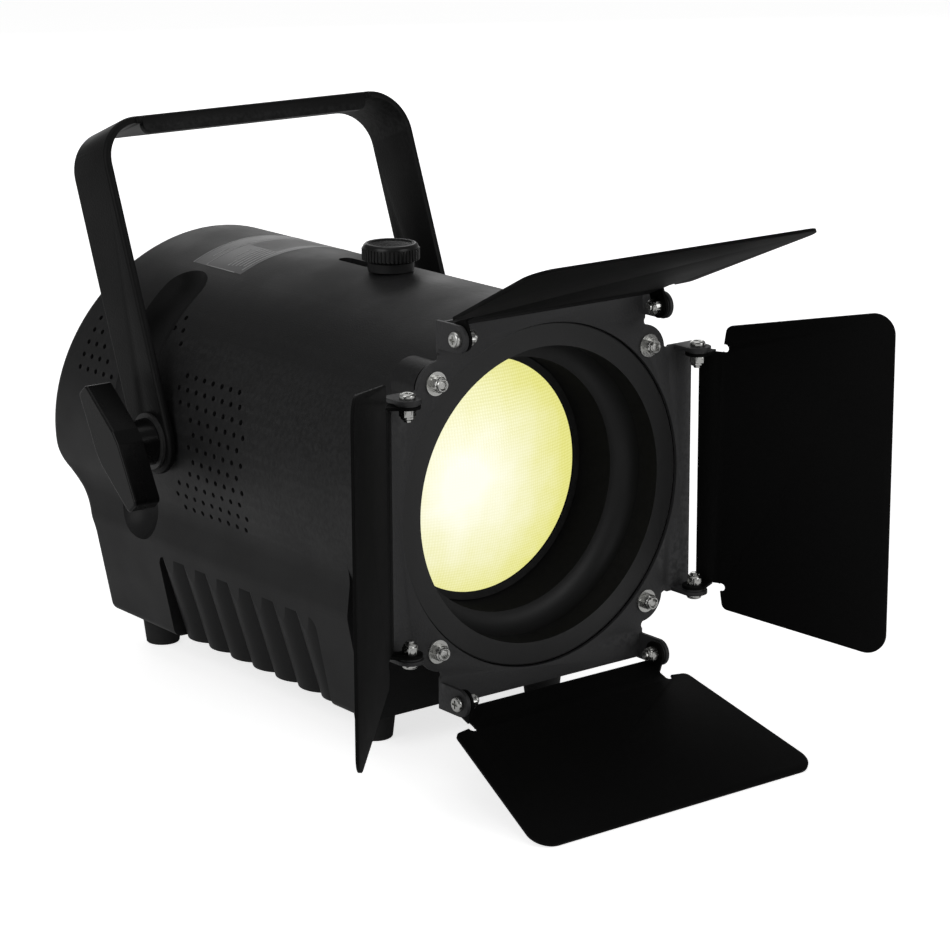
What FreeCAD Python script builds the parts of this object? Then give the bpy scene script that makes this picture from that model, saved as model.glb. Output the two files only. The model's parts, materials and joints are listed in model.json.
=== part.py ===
import FreeCAD, Part

import math
import os

from FreeCAD import Vector

# Fresnel spotlight with a four-leaf barn door, yoke and side wing knobs.
#
# Everything is drawn in lamp coordinates, in millimetres: the origin is on the
# optical axis at the front face of the barn-door plate, +Y runs to the rear,
# +Z up and +X to the right as seen from the front. save() moves each piece to
# the part's own frame, whose origin is at the front face of the bezel ring.

# --- driving dimensions -------------------------------------------------------
AXIS_HEIGHT = 101.0          # optical axis above the floor
FRONT_FOOT_Y = 53.0
REAR_FOOT_Y = 207.0
FOOT_X = 41.8
FOOT_R_TOP = 8.8
FOOT_R_BOTTOM = 7.0

# moulded housing
BARREL_R = 71.8
BARREL_FRONT = 4.0
WALL = 2.6
FRONT_WALL = 3.0
BASE_BOTTOM = -86.0          # underside of the base
BASE_FRONT = 32.8
BASE_HALF_TOP = 68.6         # half width at the shoulder
BASE_HALF_BOTTOM = 59.8
NECK = (66.0, -20.0)         # inside the drum, where the side of the base starts
NECK_BLEND = 20.0            # radii of the hollow above the shoulder and of the shoulder
SHOULDER_BLEND = 12.0
REAR_RIM_R = 4.0             # rounding all round the rear faces
REAR_CORNER_R = 12.0
REAR_WAIST_R = 20.0
SHOULDER_Z = -43.0
REAR_TOP = 226.7             # rear edge at the top of the drum
REAR_MIDDLE = 246.0          # rearmost point, a little below the axis
REAR_MIDDLE_Z = -22.0
REAR_WAIST = 219.0
REAR_WAIST_Z = -40.0
REAR_BOTTOM = 220.0
BODY_LENGTH = 260.0          # length of the stock that the rear outline trims

# saddle groove beside each yoke leg
GROOVE_Y = 180.0
GROOVE_R = 16.0
GROOVE_DEPTH = 6.0
GROOVE_FROM = -22.0          # degrees above the horizontal
GROOVE_TO = 52.0

# fluted grip panels on the base sides
FLUTE_COUNT = 7
FLUTE_PITCH = 16.0
FLUTE_RISE = 3.0
PANEL_REAR = 168.0
PANEL_CORNER_R = 5.0
PANEL_TOP = -49.0
PANEL_TOP_X = 64.5
PANEL_BOTTOM_X = 52.5

# ventilation holes
VENT_R = 1.1
VENT_PITCH = 6.2
VENT_ROW_ANGLE = 4.4
VENT_TOP_ANGLE = 24.7
VENT_ROWS = 11

# barn-door plate
PLATE_T = 1.5
PLATE_HOLE_R = 66.4
PLATE_ARM = 73.3             # centre to the outer edge of each arm
ARM_HALF = 49.5
LOBE_R = 10.7
LOBE_AT = 48.6
STUD_AT = 51.0
TAB_R = 5.2

# door leaves and their hinges
HINGE_TB = 68.84             # top and bottom hinge axes from the optical axis
HINGE_TB_FORWARD = 10.97
HINGE_LR = 69.40             # left and right hinge axes
HINGE_LR_FORWARD = 7.77
LEAF_OFFSET_TB = 6.0         # leaf sheet from its hinge axis
LEAF_OFFSET_LR = 6.8
LEAF_T = 1.2
LEAF_REACH = 76.5
LEAF_HALF = 68.3
LEAF_STEP = 9.4
LEAF_STEP_HALF = 56.7
LEAF_TONGUE_HALF = 46.4
LEAF_INNER_TB = -3.0
LEAF_INNER_LR = -1.8         # short of the plate when the leaf folds past it
DOOR_OPEN = {"top": 65.8, "bottom": 70.3, "left": 44.6, "right": 63.1}
PIN_R = 1.5
PIN_CLEARANCE = 0.05

# front opening, light tube and lens carriage
BEZEL_R = 66.0
BEZEL_HOLE_R = 57.3
BEZEL_FACE = 1.3
TUBE_STEP_Y = 11.6
TUBE_R = 49.7
TUBE_MOUTH_R = 57.9
TUBE_END = 52.0
LENS_EDGE_Y = 40.0
LENS_R = 47.0
LENS_VISIBLE_R = 46.3
CARRIAGE_R = 49.3
KNOB_Y = 96.0
LENS_TRAVEL = 30.0
RAIL_X = 55.0
RAIL_R = 2.0
RAIL_START = 21.0
STAY_Y = 119.0               # front face of the stay plate behind the rails
FAN_Y = 158.0

# yoke
PIVOT_Y = 156.0
PIVOT_Z = 2.7
YOKE_TILT = 21.0             # leans to the rear
YOKE_HALF = 76.3
YOKE_T = 3.0
YOKE_WIDTH = 27.4
YOKE_RISE = 129.0            # pivot to the top of the crossbar
YOKE_CORNER_R = 18.5
YOKE_FLANGE = 7.6
YOKE_FLANGE_HALF = 55.0
HANGING_HOLE_R = 6.5
KNOB_STUD_R = 4.0

# rear panel, on the sloping rear face
PANEL_SLOPE = math.degrees(math.atan2(REAR_MIDDLE - REAR_TOP, BARREL_R - REAR_MIDDLE_Z))
PANEL_R = 64.0
PANEL_CHORD = -13.0
PANEL_T = 1.5
REAR_OPENING_R = 59.0
REAR_OPENING_CHORD = -8.0
BUTTON_X = [-21.0, -7.0, 7.0, 21.0]
BUTTON_U = 24.0
BUTTON_R = 3.0

X = Vector(1, 0, 0)
Y = Vector(0, 1, 0)
Z = Vector(0, 0, 1)
ORIGIN = Vector(0, 0, 0)
PIVOT = Vector(0, PIVOT_Y, PIVOT_Z)
SIDES = (-1, 1)


# --- helpers ------------------------------------------------------------------
def save(name, *solids):
    """Write one node, moved from lamp coordinates to the part's frame."""
    shape = solids[0] if len(solids) == 1 else Part.makeCompound(list(solids))
    shape = shape.copy()
    shape.translate(Vector(0, -BEZEL_FACE, 0))
    shape.exportStep("parts/%s.step" % name)


def rod(radius, length, start, axis=Y):
    return Part.makeCylinder(radius, length, Vector(*start), axis)


def ring(outer, inner, length, start, axis=Y):
    return rod(outer, length, start, axis).cut(rod(inner, length, start, axis))


def block(x0, x1, y0, y1, z0, z1):
    return Part.makeBox(x1 - x0, y1 - y0, z1 - z0, Vector(x0, y0, z0))


def centred_block(width, depth, height, centre):
    cx, cy, cz = centre
    return block(cx - width / 2, cx + width / 2, cy - depth / 2, cy + depth / 2,
                 cz - height / 2, cz + height / 2)


def prism_along_y(points, y0, y1):
    corners = [Vector(x, y0, z) for x, z in points]
    return Part.Face(Part.makePolygon(corners + corners[:1])).extrude(Y * (y1 - y0))


def prism_along_x(points, x0, x1):
    corners = [Vector(x0, y, z) for y, z in points]
    return Part.Face(Part.makePolygon(corners + corners[:1])).extrude(X * (x1 - x0))


def revolve_about_axis(points):
    """Turn an outline of (y, radius) points about the optical axis."""
    corners = [Vector(r, y, 0) for y, r in points]
    return Part.Face(Part.makePolygon(corners + corners[:1])).revolve(ORIGIN, Y, 360)


def round_edges(shape, radius, wanted):
    return shape.makeFillet(radius, [e for e in shape.Edges if wanted(e)])


def runs_along(edge, axis):
    return isinstance(edge.Curve, Part.Line) and abs(edge.Curve.Direction.dot(axis)) > 0.999


def middle(edge):
    return edge.valueAt((edge.FirstParameter + edge.LastParameter) / 2)


def mirrored(shape, normal=X):
    return shape.mirror(ORIGIN, normal)


def both_sides(shape):
    return [shape, mirrored(shape)]


def turned(shape, angle, centre=ORIGIN, axis=X):
    turned_shape = shape.copy()
    turned_shape.rotate(centre, axis, angle)
    return turned_shape


def aimed(shape, place, axis):
    """Move a piece drawn along +Z so that it starts at place and points along axis."""
    moved = shape.copy()
    moved.Placement = FreeCAD.Placement(Vector(*place), FreeCAD.Rotation(Z, Vector(*axis)))
    return moved


def joined(shapes):
    return shapes[0].fuse(list(shapes[1:])).removeSplitter()


# --- fasteners, drawn along +Z from the seat ----------------------------------
def pan_screw(size, length):
    """Cross-recessed pan head on +Z, shank on -Z."""
    radius = size / 2
    head = Part.makeCylinder(size, 0.7 * size)
    head = round_edges(head, 0.35 * size, lambda e: middle(e).z > 0.6 * size)
    slot = centred_block(1.1 * size, 0.26 * size, 0.9 * size, (0, 0, 0.75 * size))
    head = head.cut(slot).cut(turned(slot, 90, ORIGIN, Z))
    return joined([head, Part.makeCylinder(radius, length, Vector(0, 0, -length))])


def lock_nut(size, flats, height):
    """Hexagon nut with a plastic-ring collar on +Z and a clear bore."""
    corners = [Vector(flats / math.sqrt(3) * math.cos(math.radians(60 * i)),
                      flats / math.sqrt(3) * math.sin(math.radians(60 * i)), 0) for i in range(6)]
    hexagon = Part.Face(Part.makePolygon(corners + corners[:1])).extrude(Z * (0.7 * height))
    collar = Part.makeCylinder(0.46 * flats, height)
    collar = round_edges(collar, 0.15 * height, lambda e: middle(e).z > 0.9 * height)
    return joined([hexagon, collar]).cut(Part.makeCylinder(size / 2 + 0.02, height))


# --- moulded housing ----------------------------------------------------------
def housing_outline(inset, front, base_front):
    """Barrel and base, drawn larger or smaller by an inset."""
    barrel = rod(BARREL_R - inset, BODY_LENGTH - front, (0, front, 0))
    side = [(BASE_HALF_TOP - inset, SHOULDER_Z), (BASE_HALF_BOTTOM - inset, BASE_BOTTOM + inset)]
    neck = [(NECK[0] - inset, NECK[1])]
    right = neck + side
    base = prism_along_y(right + [(-x, z) for x, z in reversed(right)], base_front, BODY_LENGTH)
    return barrel, base


def rear_outline(inset):
    """Side view of the space in front of the rear faces."""
    slope = math.cos(math.radians(PANEL_SLOPE))
    points = [(-5, 95), (REAR_TOP - inset / slope - (95 - BARREL_R) * (REAR_MIDDLE - REAR_TOP)
                         / (BARREL_R - REAR_MIDDLE_Z), 95),
              (REAR_MIDDLE - inset / slope, REAR_MIDDLE_Z), (REAR_WAIST - inset, REAR_WAIST_Z),
              (REAR_BOTTOM - inset, -95), (-5, -95)]
    space = prism_along_x(points, -95, 95)
    space = round_edges(space, REAR_CORNER_R - inset, lambda e: runs_along(e, X)
                        and middle(e).y > REAR_MIDDLE - inset - 2)
    return round_edges(space, REAR_WAIST_R, lambda e: runs_along(e, X)
                       and abs(middle(e).z - REAR_WAIST_Z) < 1)


def groove(extra):
    """Saddle groove on the right side, or its backing when extra is positive."""
    major = BARREL_R + GROOVE_R - GROOVE_DEPTH
    minor = GROOVE_R + extra
    sweep = GROOVE_TO - GROOVE_FROM
    ends = []
    for angle in (GROOVE_FROM, GROOVE_TO):
        a = math.radians(angle)
        ends.append(Vector(major * math.cos(a), GROOVE_Y, major * math.sin(a)))
    a = math.radians(GROOVE_FROM)
    radial = Vector(math.cos(a), 0, math.sin(a))
    circle = Part.Circle(ends[0], radial.cross(Y), minor)
    bend = Part.Face(Part.Wire(circle.toShape())).revolve(ORIGIN, Y * -1, sweep)
    return [bend] + [Part.makeSphere(minor, end) for end in ends]


def flutes(extra):
    """Fluted wall of the right grip panel; extra moves the wall inwards."""
    bottom = BASE_BOTTOM - 2
    run = (PANEL_TOP_X - PANEL_BOTTOM_X) / (PANEL_TOP - bottom)
    front = PANEL_REAR - FLUTE_COUNT * FLUTE_PITCH
    half = FLUTE_PITCH / 2
    radius = (half ** 2 + FLUTE_RISE ** 2) / (2 * FLUTE_RISE)
    cut = prism_along_y([(PANEL_TOP_X - extra, PANEL_TOP + extra), (90, PANEL_TOP + extra), (90, bottom),
                         (PANEL_BOTTOM_X - extra, bottom)], front - extra, PANEL_REAR + extra)
    cut = round_edges(cut, PANEL_CORNER_R, lambda e: runs_along(e, X) and middle(e).z > PANEL_TOP - 1)
    ribs = []
    for i in range(FLUTE_COUNT):
        centre = Vector(PANEL_TOP_X + run * 20 + FLUTE_RISE - radius, front + (i + 0.5) * FLUTE_PITCH,
                        PANEL_TOP + 20)
        ribs.append(Part.makeCylinder(radius, 80, centre, Vector(-run, 0, -1)))
    return cut, ribs


def vent_places():
    """(y, angle) of each ventilation hole on the right side."""
    places = []
    for row in range(VENT_ROWS):
        angle = VENT_TOP_ANGLE - row * VENT_ROW_ANGLE
        z = BARREL_R * math.sin(math.radians(angle))
        start = 98.0 if row % 2 else 98.0 + VENT_PITCH / 2
        for step in range(9):
            y = start + step * VENT_PITCH
            beside_leg = math.hypot(y - PIVOT_Y, z - PIVOT_Z) > 19.5
            if beside_leg and y > 97 + 0.75 * (angle - 11) and y < 148:
                places.append((y, angle))
    for row in range(5):
        angle = 16.6 + row * VENT_ROW_ANGLE
        first = 197.0 + row * VENT_PITCH * 0.9
        along = [first + step * VENT_PITCH for step in range(5)]
        places += [(y, angle) for y in along if y < 223]
    for row in range(3):
        angle = 33.8 + row * VENT_ROW_ANGLE
        start = 157.5 + row * VENT_PITCH / 2
        places += [(start + step * VENT_PITCH, angle) for step in range(2 if row else 1)]
    return places


def vents():
    pins = []
    for y, angle in vent_places():
        a = math.radians(angle)
        for side in SIDES:
            out = Vector(side * math.cos(a), 0, math.sin(a))
            pins.append(Part.makeCylinder(VENT_R, 16, Vector(0, y, 0) + out * (BARREL_R - 14), out))
    return pins


def tilted_to_panel(shape):
    """Carry a piece drawn on the plane y = 0, facing +Y, to the sloping rear face."""
    moved = turned(shape, PANEL_SLOPE)
    centre_y = REAR_MIDDLE + REAR_MIDDLE_Z * (REAR_MIDDLE - REAR_TOP) / (BARREL_R - REAR_MIDDLE_Z)
    moved.translate(Vector(0, centre_y, 0))
    return moved


def half_disc(radius, chord, y0, y1):
    """Disc on the panel plane, cut off flat below its chord."""
    disc = rod(radius, y1 - y0, (0, y0, 0))
    return disc.common(block(-radius, radius, y0, y1, chord, radius))


def on_rear_rim(edge):
    """Edges all round the rear faces, without the seams that run straight across them."""
    seam = runs_along(edge, X) and middle(edge).z > BASE_BOTTOM + 2
    return middle(edge).y > REAR_WAIST - 2 and not runs_along(edge, Y) and not seam


def main_housing():
    barrel, base = housing_outline(0, BARREL_FRONT, BASE_FRONT)
    outer = joined([barrel, base])
    outer = round_edges(outer, 4.0, lambda e: runs_along(e, Y) and middle(e).z < BASE_BOTTOM + 1)
    outer = round_edges(outer, SHOULDER_BLEND, lambda e: runs_along(e, Y)
                        and abs(middle(e).z - SHOULDER_Z) < 1)
    outer = round_edges(outer, NECK_BLEND, lambda e: runs_along(e, Y) and abs(middle(e).x) > 50
                        and middle(e).z > SHOULDER_Z + 5)
    outer = outer.common(rear_outline(0))
    outer = round_edges(outer, REAR_RIM_R, on_rear_rim)
    inner_barrel, inner_base = housing_outline(WALL, BARREL_FRONT + FRONT_WALL, BASE_FRONT + WALL)
    hollow = joined([inner_barrel, inner_base]).common(rear_outline(WALL))
    hollow = hollow.common(block(-95, 95, 0, BODY_LENGTH, BASE_BOTTOM + WALL, 95))
    for side in SIDES:
        backing = groove(WALL)
        cutters = groove(0)
        wall_cut, ribs = flutes(WALL)
        panel_cut, panel_ribs = flutes(0)
        if side < 0:
            backing, cutters = [mirrored(s) for s in backing], [mirrored(s) for s in cutters]
            wall_cut, panel_cut = mirrored(wall_cut), mirrored(panel_cut)
            panel_ribs = [mirrored(s) for s in panel_ribs]
        hollow = hollow.cut(backing + [wall_cut])
        fluted = panel_cut.cut(panel_ribs)
        outer = outer.cut(cutters).cut(fluted)
    # lugs that carry the four corner studs, and bosses for the wing-knob inserts
    for sx in SIDES:
        for sz in SIDES:
            lug = rod(LOBE_R - 1.5, 14, (sx * LOBE_AT, BARREL_FRONT, sz * LOBE_AT))
            outer = outer.fuse(lug)
    shell = outer.cut(hollow)
    for side in SIDES:
        boss = Part.makeCylinder(9, 14, Vector(side * (BARREL_R - 16), PIVOT_Y, PIVOT_Z), X * side)
        boss = boss.common(rod(BARREL_R - 0.5, BODY_LENGTH, (0, 0, 0)))
        shell = shell.fuse(boss)
        seat = Part.makeCylinder(6, 14, Vector(side * (BARREL_R - 12), PIVOT_Y, PIVOT_Z), X * side)
        shell = shell.cut(seat)
    shell = shell.cut(rod(60, 20, (0, 0, 0)))
    slot_y0, slot_y1 = KNOB_Y - 3.2, KNOB_Y + LENS_TRAVEL + 3.2
    slot = block(-3.2, 3.2, slot_y0, slot_y1, 55, 80)
    shell = shell.cut(round_edges(slot, 3.1, lambda e: runs_along(e, Z)))
    opening = tilted_to_panel(half_disc(REAR_OPENING_R, REAR_OPENING_CHORD, -20, 20))
    shell = shell.cut(opening)
    for sx in SIDES:
        for sz in SIDES:
            shell = shell.cut(rod(1.5, 12, (sx * STUD_AT, BARREL_FRONT, sz * STUD_AT)))
        for y in (FRONT_FOOT_Y, REAR_FOOT_Y):
            shell = shell.cut(rod(2.0, 20, (sx * FOOT_X, y, BASE_BOTTOM - 5), Z))
    for place in panel_screw_places():
        shell = shell.cut(tilted_to_panel(rod(1.3, 10, (place[0], -10, place[1]))))
    shell = shell.cut(vents())
    return shell


def panel_screw_places():
    radius = PANEL_R - 2.9
    places = [(radius * math.cos(math.radians(a)), radius * math.sin(math.radians(a)))
              for a in (-7, 42, 90, 138, 187)]
    return places + [(6.5, (PANEL_CHORD + REAR_OPENING_CHORD) / 2)]


# --- front opening and optics -------------------------------------------------
def front_bezel():
    face = ring(BEZEL_R, BEZEL_HOLE_R, BARREL_FRONT - BEZEL_FACE, (0, BEZEL_FACE, 0))
    face = round_edges(face, 0.5, lambda e: abs(middle(e).y - BEZEL_FACE) < 0.01 and e.Length > 400)
    spigot = ring(59.8, BEZEL_HOLE_R, TUBE_STEP_Y - BARREL_FRONT, (0, BARREL_FRONT, 0))
    return joined([face, spigot])


def light_tube():
    """Rounded step behind the bezel, then the plain tube that the lens slides in."""
    outer = 59.6
    profile = [(TUBE_STEP_Y + 0.1, outer), (TUBE_STEP_Y + 0.1, TUBE_MOUTH_R)]
    arc_r = TUBE_MOUTH_R - TUBE_R
    steps = 10
    for i in range(steps + 1):
        a = math.radians(90.0 * i / steps)
        profile.append((TUBE_STEP_Y + 0.6 + arc_r * math.sin(a), TUBE_MOUTH_R - arc_r * (1 - math.cos(a))))
    profile += [(TUBE_END, TUBE_R), (TUBE_END, TUBE_R + 2.0), (24.0, TUBE_R + 2.0), (20.0, outer)]
    tube = revolve_about_axis(profile)
    for side in SIDES:
        boss = rod(4.0, 14, (side * RAIL_X, 19, 0)).cut(rod(TUBE_R + 1, 40, (0, 0, 0)))
        tube = tube.fuse(boss)
    for side in SIDES:
        tube = tube.cut(rod(RAIL_R + 0.01, 20, (side * RAIL_X, RAIL_START, 0)))
    return tube.removeSplitter()


def lens():
    """Plano-convex lens, its curved face forward."""
    sag = 11.0
    radius = (LENS_R ** 2 + sag ** 2) / (2 * sag)
    ball = Part.makeSphere(radius, Vector(0, LENS_EDGE_Y - sag + radius, 0))
    cap = ball.common(rod(LENS_R, sag, (0, LENS_EDGE_Y - sag, 0)))
    return joined([cap, rod(LENS_R, 4, (0, LENS_EDGE_Y, 0))])


def lens_carriage():
    sleeve = ring(CARRIAGE_R, LENS_R + 0.1, 44, (0, LENS_EDGE_Y - 1.4, 0))
    lip = ring(LENS_R + 0.3, LENS_VISIBLE_R, 0.9, (0, LENS_EDGE_Y - 1.4, 0))
    parts = [sleeve, lip, block(-8, 8, 56, KNOB_Y + 8, 48.6, 53.0)]
    for side in SIDES:
        ear = rod(4.5, 10, (side * RAIL_X, 68, 0))
        web = block(min(side * 48.6, side * RAIL_X), max(side * 48.6, side * RAIL_X), 68, 78, -3, 3)
        parts += [ear, web]
    body = joined(parts)
    for side in SIDES:
        body = body.cut(rod(RAIL_R + PIN_CLEARANCE, 12, (side * RAIL_X, 67, 0)))
    return body


def lens_retainer():
    return ring(LENS_R - 0.1, LENS_R - 2.0, 2, (0, LENS_EDGE_Y + 4.1, 0))


def focus_stud():
    """Post through the slot, with a shoulder above the housing and a slot cover below it."""
    post = rod(2.0, 25, (0, KNOB_Y, 53.0), Z)
    spacer = rod(3.0, 13.0, (0, KNOB_Y, 53.0), Z)
    return joined([post, spacer])


def slot_cover():
    strip = block(-6.5, 6.5, KNOB_Y - 38, KNOB_Y + 8, 66.2, 67.2)
    return strip.cut(rod(2.1, 10, (0, KNOB_Y, 60), Z))


def knob_collar():
    collar = ring(9.2, 2.05, 3.6, (0, KNOB_Y, BARREL_R + 0.3), Z)
    return round_edges(collar, 0.4, lambda e: middle(e).z > BARREL_R + 3.5 and e.Length > 30)


def focus_knob():
    bottom = BARREL_R + 4.2
    height = 7.0
    body = rod(11.0, height, (0, KNOB_Y, bottom), Z)
    body = round_edges(body, 1.2, lambda e: middle(e).z > bottom + height - 0.1)
    dish = rod(8.4, 1.0, (0, KNOB_Y, bottom + height - 0.8), Z)
    body = body.cut(dish)
    teeth = []
    count = 44
    for i in range(count):
        a = 2 * math.pi * i / count
        root = (11.0 * math.cos(a), KNOB_Y + 11.0 * math.sin(a), bottom + 0.6)
        teeth.append(rod(0.5, height - 2.2, root, Z))
    body = body.fuse(teeth)
    return body.cut(rod(2.0 + PIN_CLEARANCE, 4.5, (0, KNOB_Y, bottom), Z))


def guide_rails():
    length = STAY_Y - RAIL_START
    return [rod(RAIL_R, length, (side * RAIL_X, RAIL_START, 0)) for side in SIDES]


# --- light engine and electronics ---------------------------------------------
def stay_plate():
    """Sheet across the barrel that carries the heat sink and the rear of the rails."""
    disc = rod(BARREL_R - WALL - 0.3, 1.5, (0, STAY_Y, 0))
    disc = disc.cut(centred_block(56, 10, 56, (0, STAY_Y, 0)))
    disc = disc.cut(block(-11, 11, STAY_Y - 5, STAY_Y + 5, 45, 80))
    return disc.cut(block(-80, 80, STAY_Y - 5, STAY_Y + 5, -80, -45))


def heat_sink():
    base = block(-38, 38, STAY_Y + 1.6, STAY_Y + 7, -38, 38)
    fins = []
    count = 13
    for i in range(count):
        x = -38 + i * (76 - 1.6) / (count - 1)
        fins.append(block(x, x + 1.6, STAY_Y + 6, STAY_Y + 38, -38, 38))
    pad = block(-27, 27, STAY_Y, STAY_Y + 2, -27, 27)
    return joined([base, pad] + fins)


def led_board():
    return block(-20, 20, STAY_Y - 1.7, STAY_Y - 0.1, -20, 20)


def led_emitter():
    return rod(12, 1.2, (0, STAY_Y - 3.0, 0))


def fan_frame():
    y0 = FAN_Y
    frame = round_edges(centred_block(60, 15, 60, (0, y0 + 7.5, 0)), 5, lambda e: runs_along(e, Y))
    frame = frame.cut(rod(28.5, 13, (0, y0, 0)))
    spokes = [turned(block(-1.5, 1.5, y0 + 13, y0 + 15, -29, 29), a, ORIGIN, Y) for a in (30, 90, 150)]
    frame = frame.cut(rod(28.5, 3, (0, y0 + 12.5, 0)))
    frame = frame.fuse(spokes + [rod(13, 2, (0, y0 + 13, 0))])
    shaft = rod(1.5, 9, (0, y0 + 4, 0))
    for sx in SIDES:
        for sz in SIDES:
            frame = frame.cut(rod(2.1, 16, (sx * 25, y0 - 0.5, sz * 25)))
    return joined([frame, shaft])


def fan_rotor():
    y0 = FAN_Y
    hub = ring(12.5, 1.5 + PIN_CLEARANCE, 10, (0, y0 + 2, 0))
    blades = []
    for i in range(7):
        blade = block(-6, 6, y0 + 6.1, y0 + 7.5, 10, 27.5)
        blade = turned(blade, 32, Vector(0, y0 + 6.8, 18), Z)
        blades.append(turned(blade, i * 360 / 7, ORIGIN, Y))
    rotor = joined([hub] + blades)
    rotor = rotor.common(rod(27.6, 11, (0, y0 + 1.5, 0)))
    return rotor.cut(rod(1.5 + PIN_CLEARANCE, 14, (0, y0, 0)))


def power_supply():
    """Mains converter on its board in the base."""
    top = BASE_BOTTOM + WALL + 5
    board = block(-40, 40, 60, 190, top, top + 1.6)
    parts = [block(-16, 16, 100, 130, top + 1.6, top + 26), block(-34, -20, 140, 158, top + 1.6, top + 16)]
    parts += [rod(8, 22, (24, 80, top + 1.6), Z), rod(8, 22, (24, 150, top + 1.6), Z)]
    parts += [block(-34, -30, 70, 110, top + 1.6, top + 22)]
    return joined([board] + parts)


def control_board():
    """Display and menu board behind the rear panel."""
    board = block(-30, 30, -13.6, -12, 18, 50)
    chips = [block(-22, -8, -16, -13.6, 36, 47), block(6, 18, -16, -13.6, 30, 40)]
    return tilted_to_panel(joined([board] + chips))


def rear_panel():
    plate = half_disc(PANEL_R, PANEL_CHORD, 0.05, PANEL_T)
    cuts = [centred_block(44, 6, 15, (0, 0, 38))]
    cuts += [rod(BUTTON_R + 0.3, 6, (x, -3, BUTTON_U)) for x in BUTTON_X]
    cuts += [rod(11.8, 6, (x, -3, -1 + 5)) for x in (-43, -15)]
    cuts += [centred_block(27.6, 6, 20.4, (31, 0, 3))]
    cuts += [rod(1.6, 6, (px, -3, pz)) for px, pz in panel_screw_places()]
    plate = plate.cut(cuts)
    return tilted_to_panel(plate)


def display_window():
    window = centred_block(43.8, 2.4, 14.8, (0, 0.9, 38))
    frame = centred_block(47, 1.0, 18, (0, -0.5, 38))
    return tilted_to_panel(joined([window, frame]))


def menu_button(x):
    cap = rod(BUTTON_R, 9.0, (x, -6.0, BUTTON_U))
    cap = round_edges(cap, 0.6, lambda e: middle(e).y > 2.9)
    flange = rod(BUTTON_R + 1.0, 1.0, (x, -1.2, BUTTON_U))
    return tilted_to_panel(joined([cap, flange]))


def data_socket(x, female):
    """Round three-pole socket in a panel-mount shell."""
    z = 4
    flange = round_edges(centred_block(26, 2.0, 30, (x, PANEL_T + 1.0, z)), 3, lambda e: runs_along(e, Y))
    shell = rod(11.5, 24, (x, -21, z))
    body = joined([flange, shell])
    if female:
        angles = [math.radians(a) for a in (30, 150, 270)]
        body = body.cut([rod(1.2, 12, (x + 4 * math.cos(a), -7, z + 4 * math.sin(a))) for a in angles])
        return tilted_to_panel(body)
    body = body.cut(rod(9.4, 16, (x, -11, z)))
    pins = [rod(1.0, 14, (x + 4 * math.cos(math.radians(a)), -12, z + 4 * math.sin(math.radians(a))))
            for a in (30, 150, 270)]
    return tilted_to_panel(joined([body] + pins))


def power_inlet():
    """Three-pin appliance inlet."""
    x, z = 31, 3
    flange = round_edges(centred_block(31, 2.0, 24.5, (x, PANEL_T + 1.0, z)), 2, lambda e: runs_along(e, Y))
    body = joined([flange, centred_block(27, 22, 20, (x, -8.5, z))])
    body = body.cut(centred_block(24, 16, 16.5, (x, -2.5, z)))
    pins = [centred_block(2, 13, 4, (x + dx, -6.0, z + dz)) for dx, dz in ((-7, -1.5), (0, 2.5), (7, -1.5))]
    return tilted_to_panel(joined([body] + pins))


# --- base fittings ------------------------------------------------------------
def foot_places():
    return [(sx * FOOT_X, y) for sx in SIDES for y in (FRONT_FOOT_Y, REAR_FOOT_Y)]


def rubber_feet():
    feet = []
    for x, y in foot_places():
        height = AXIS_HEIGHT + BASE_BOTTOM
        foot = Part.makeCone(FOOT_R_BOTTOM, FOOT_R_TOP, height, Vector(x, y, -AXIS_HEIGHT), Z)
        foot = round_edges(foot, 0.8, lambda e: middle(e).z < -AXIS_HEIGHT + 0.1)
        foot = foot.cut(rod(4.0, 7, (x, y, -AXIS_HEIGHT), Z)).cut(rod(2.05, height, (x, y, -AXIS_HEIGHT), Z))
        feet.append(foot)
    return feet


def foot_screws():
    screw = mirrored(pan_screw(3.6, 12), Z)
    return [aimed(screw, (x, y, -AXIS_HEIGHT + 7.0), (0, 0, 1)) for x, y in foot_places()]


# --- barn-door plate ----------------------------------------------------------
def barndoor_plate():
    arm = block(-PLATE_ARM, PLATE_ARM, 0, PLATE_T, -ARM_HALF, ARM_HALF)
    sheet = [arm, turned(arm, 90, ORIGIN, Y)]
    for sx in SIDES:
        for sz in SIDES:
            sheet.append(rod(LOBE_R, PLATE_T, (sx * LOBE_AT, 0, sz * LOBE_AT)))
    plate = joined(sheet)
    notch_at = ARM_HALF + 1.0
    cuts = [rod(PLATE_HOLE_R, 4, (0, -1, 0))]
    for sx in SIDES:
        for sz in SIDES:
            cuts.append(rod(1.6, 4, (sx * STUD_AT, -1, sz * STUD_AT)))
            cuts.append(rod(1.6, 4, (sx * notch_at, -1, sz * (ARM_HALF + 11.2))))
            cuts.append(rod(1.6, 4, (sx * (ARM_HALF + 11.2), -1, sz * notch_at)))
    plate = plate.cut(cuts)
    return plate.fuse(plate_tabs()).removeSplitter()


def plate_tab(hinge, forward):
    """One tab of an upper or lower arm, at the plus X end, with its hinge hole."""
    tip = Part.makeCylinder(TAB_R, PLATE_T, Vector(ARM_HALF - PLATE_T, -forward, hinge), X)
    root = block(ARM_HALF - PLATE_T, ARM_HALF, -forward, PLATE_T, hinge - TAB_R, hinge + TAB_R)
    return tip.fuse(root).removeSplitter().cut(
        Part.makeCylinder(PIN_R + PIN_CLEARANCE, 4, Vector(ARM_HALF - 3, -forward, hinge), X))


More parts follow.
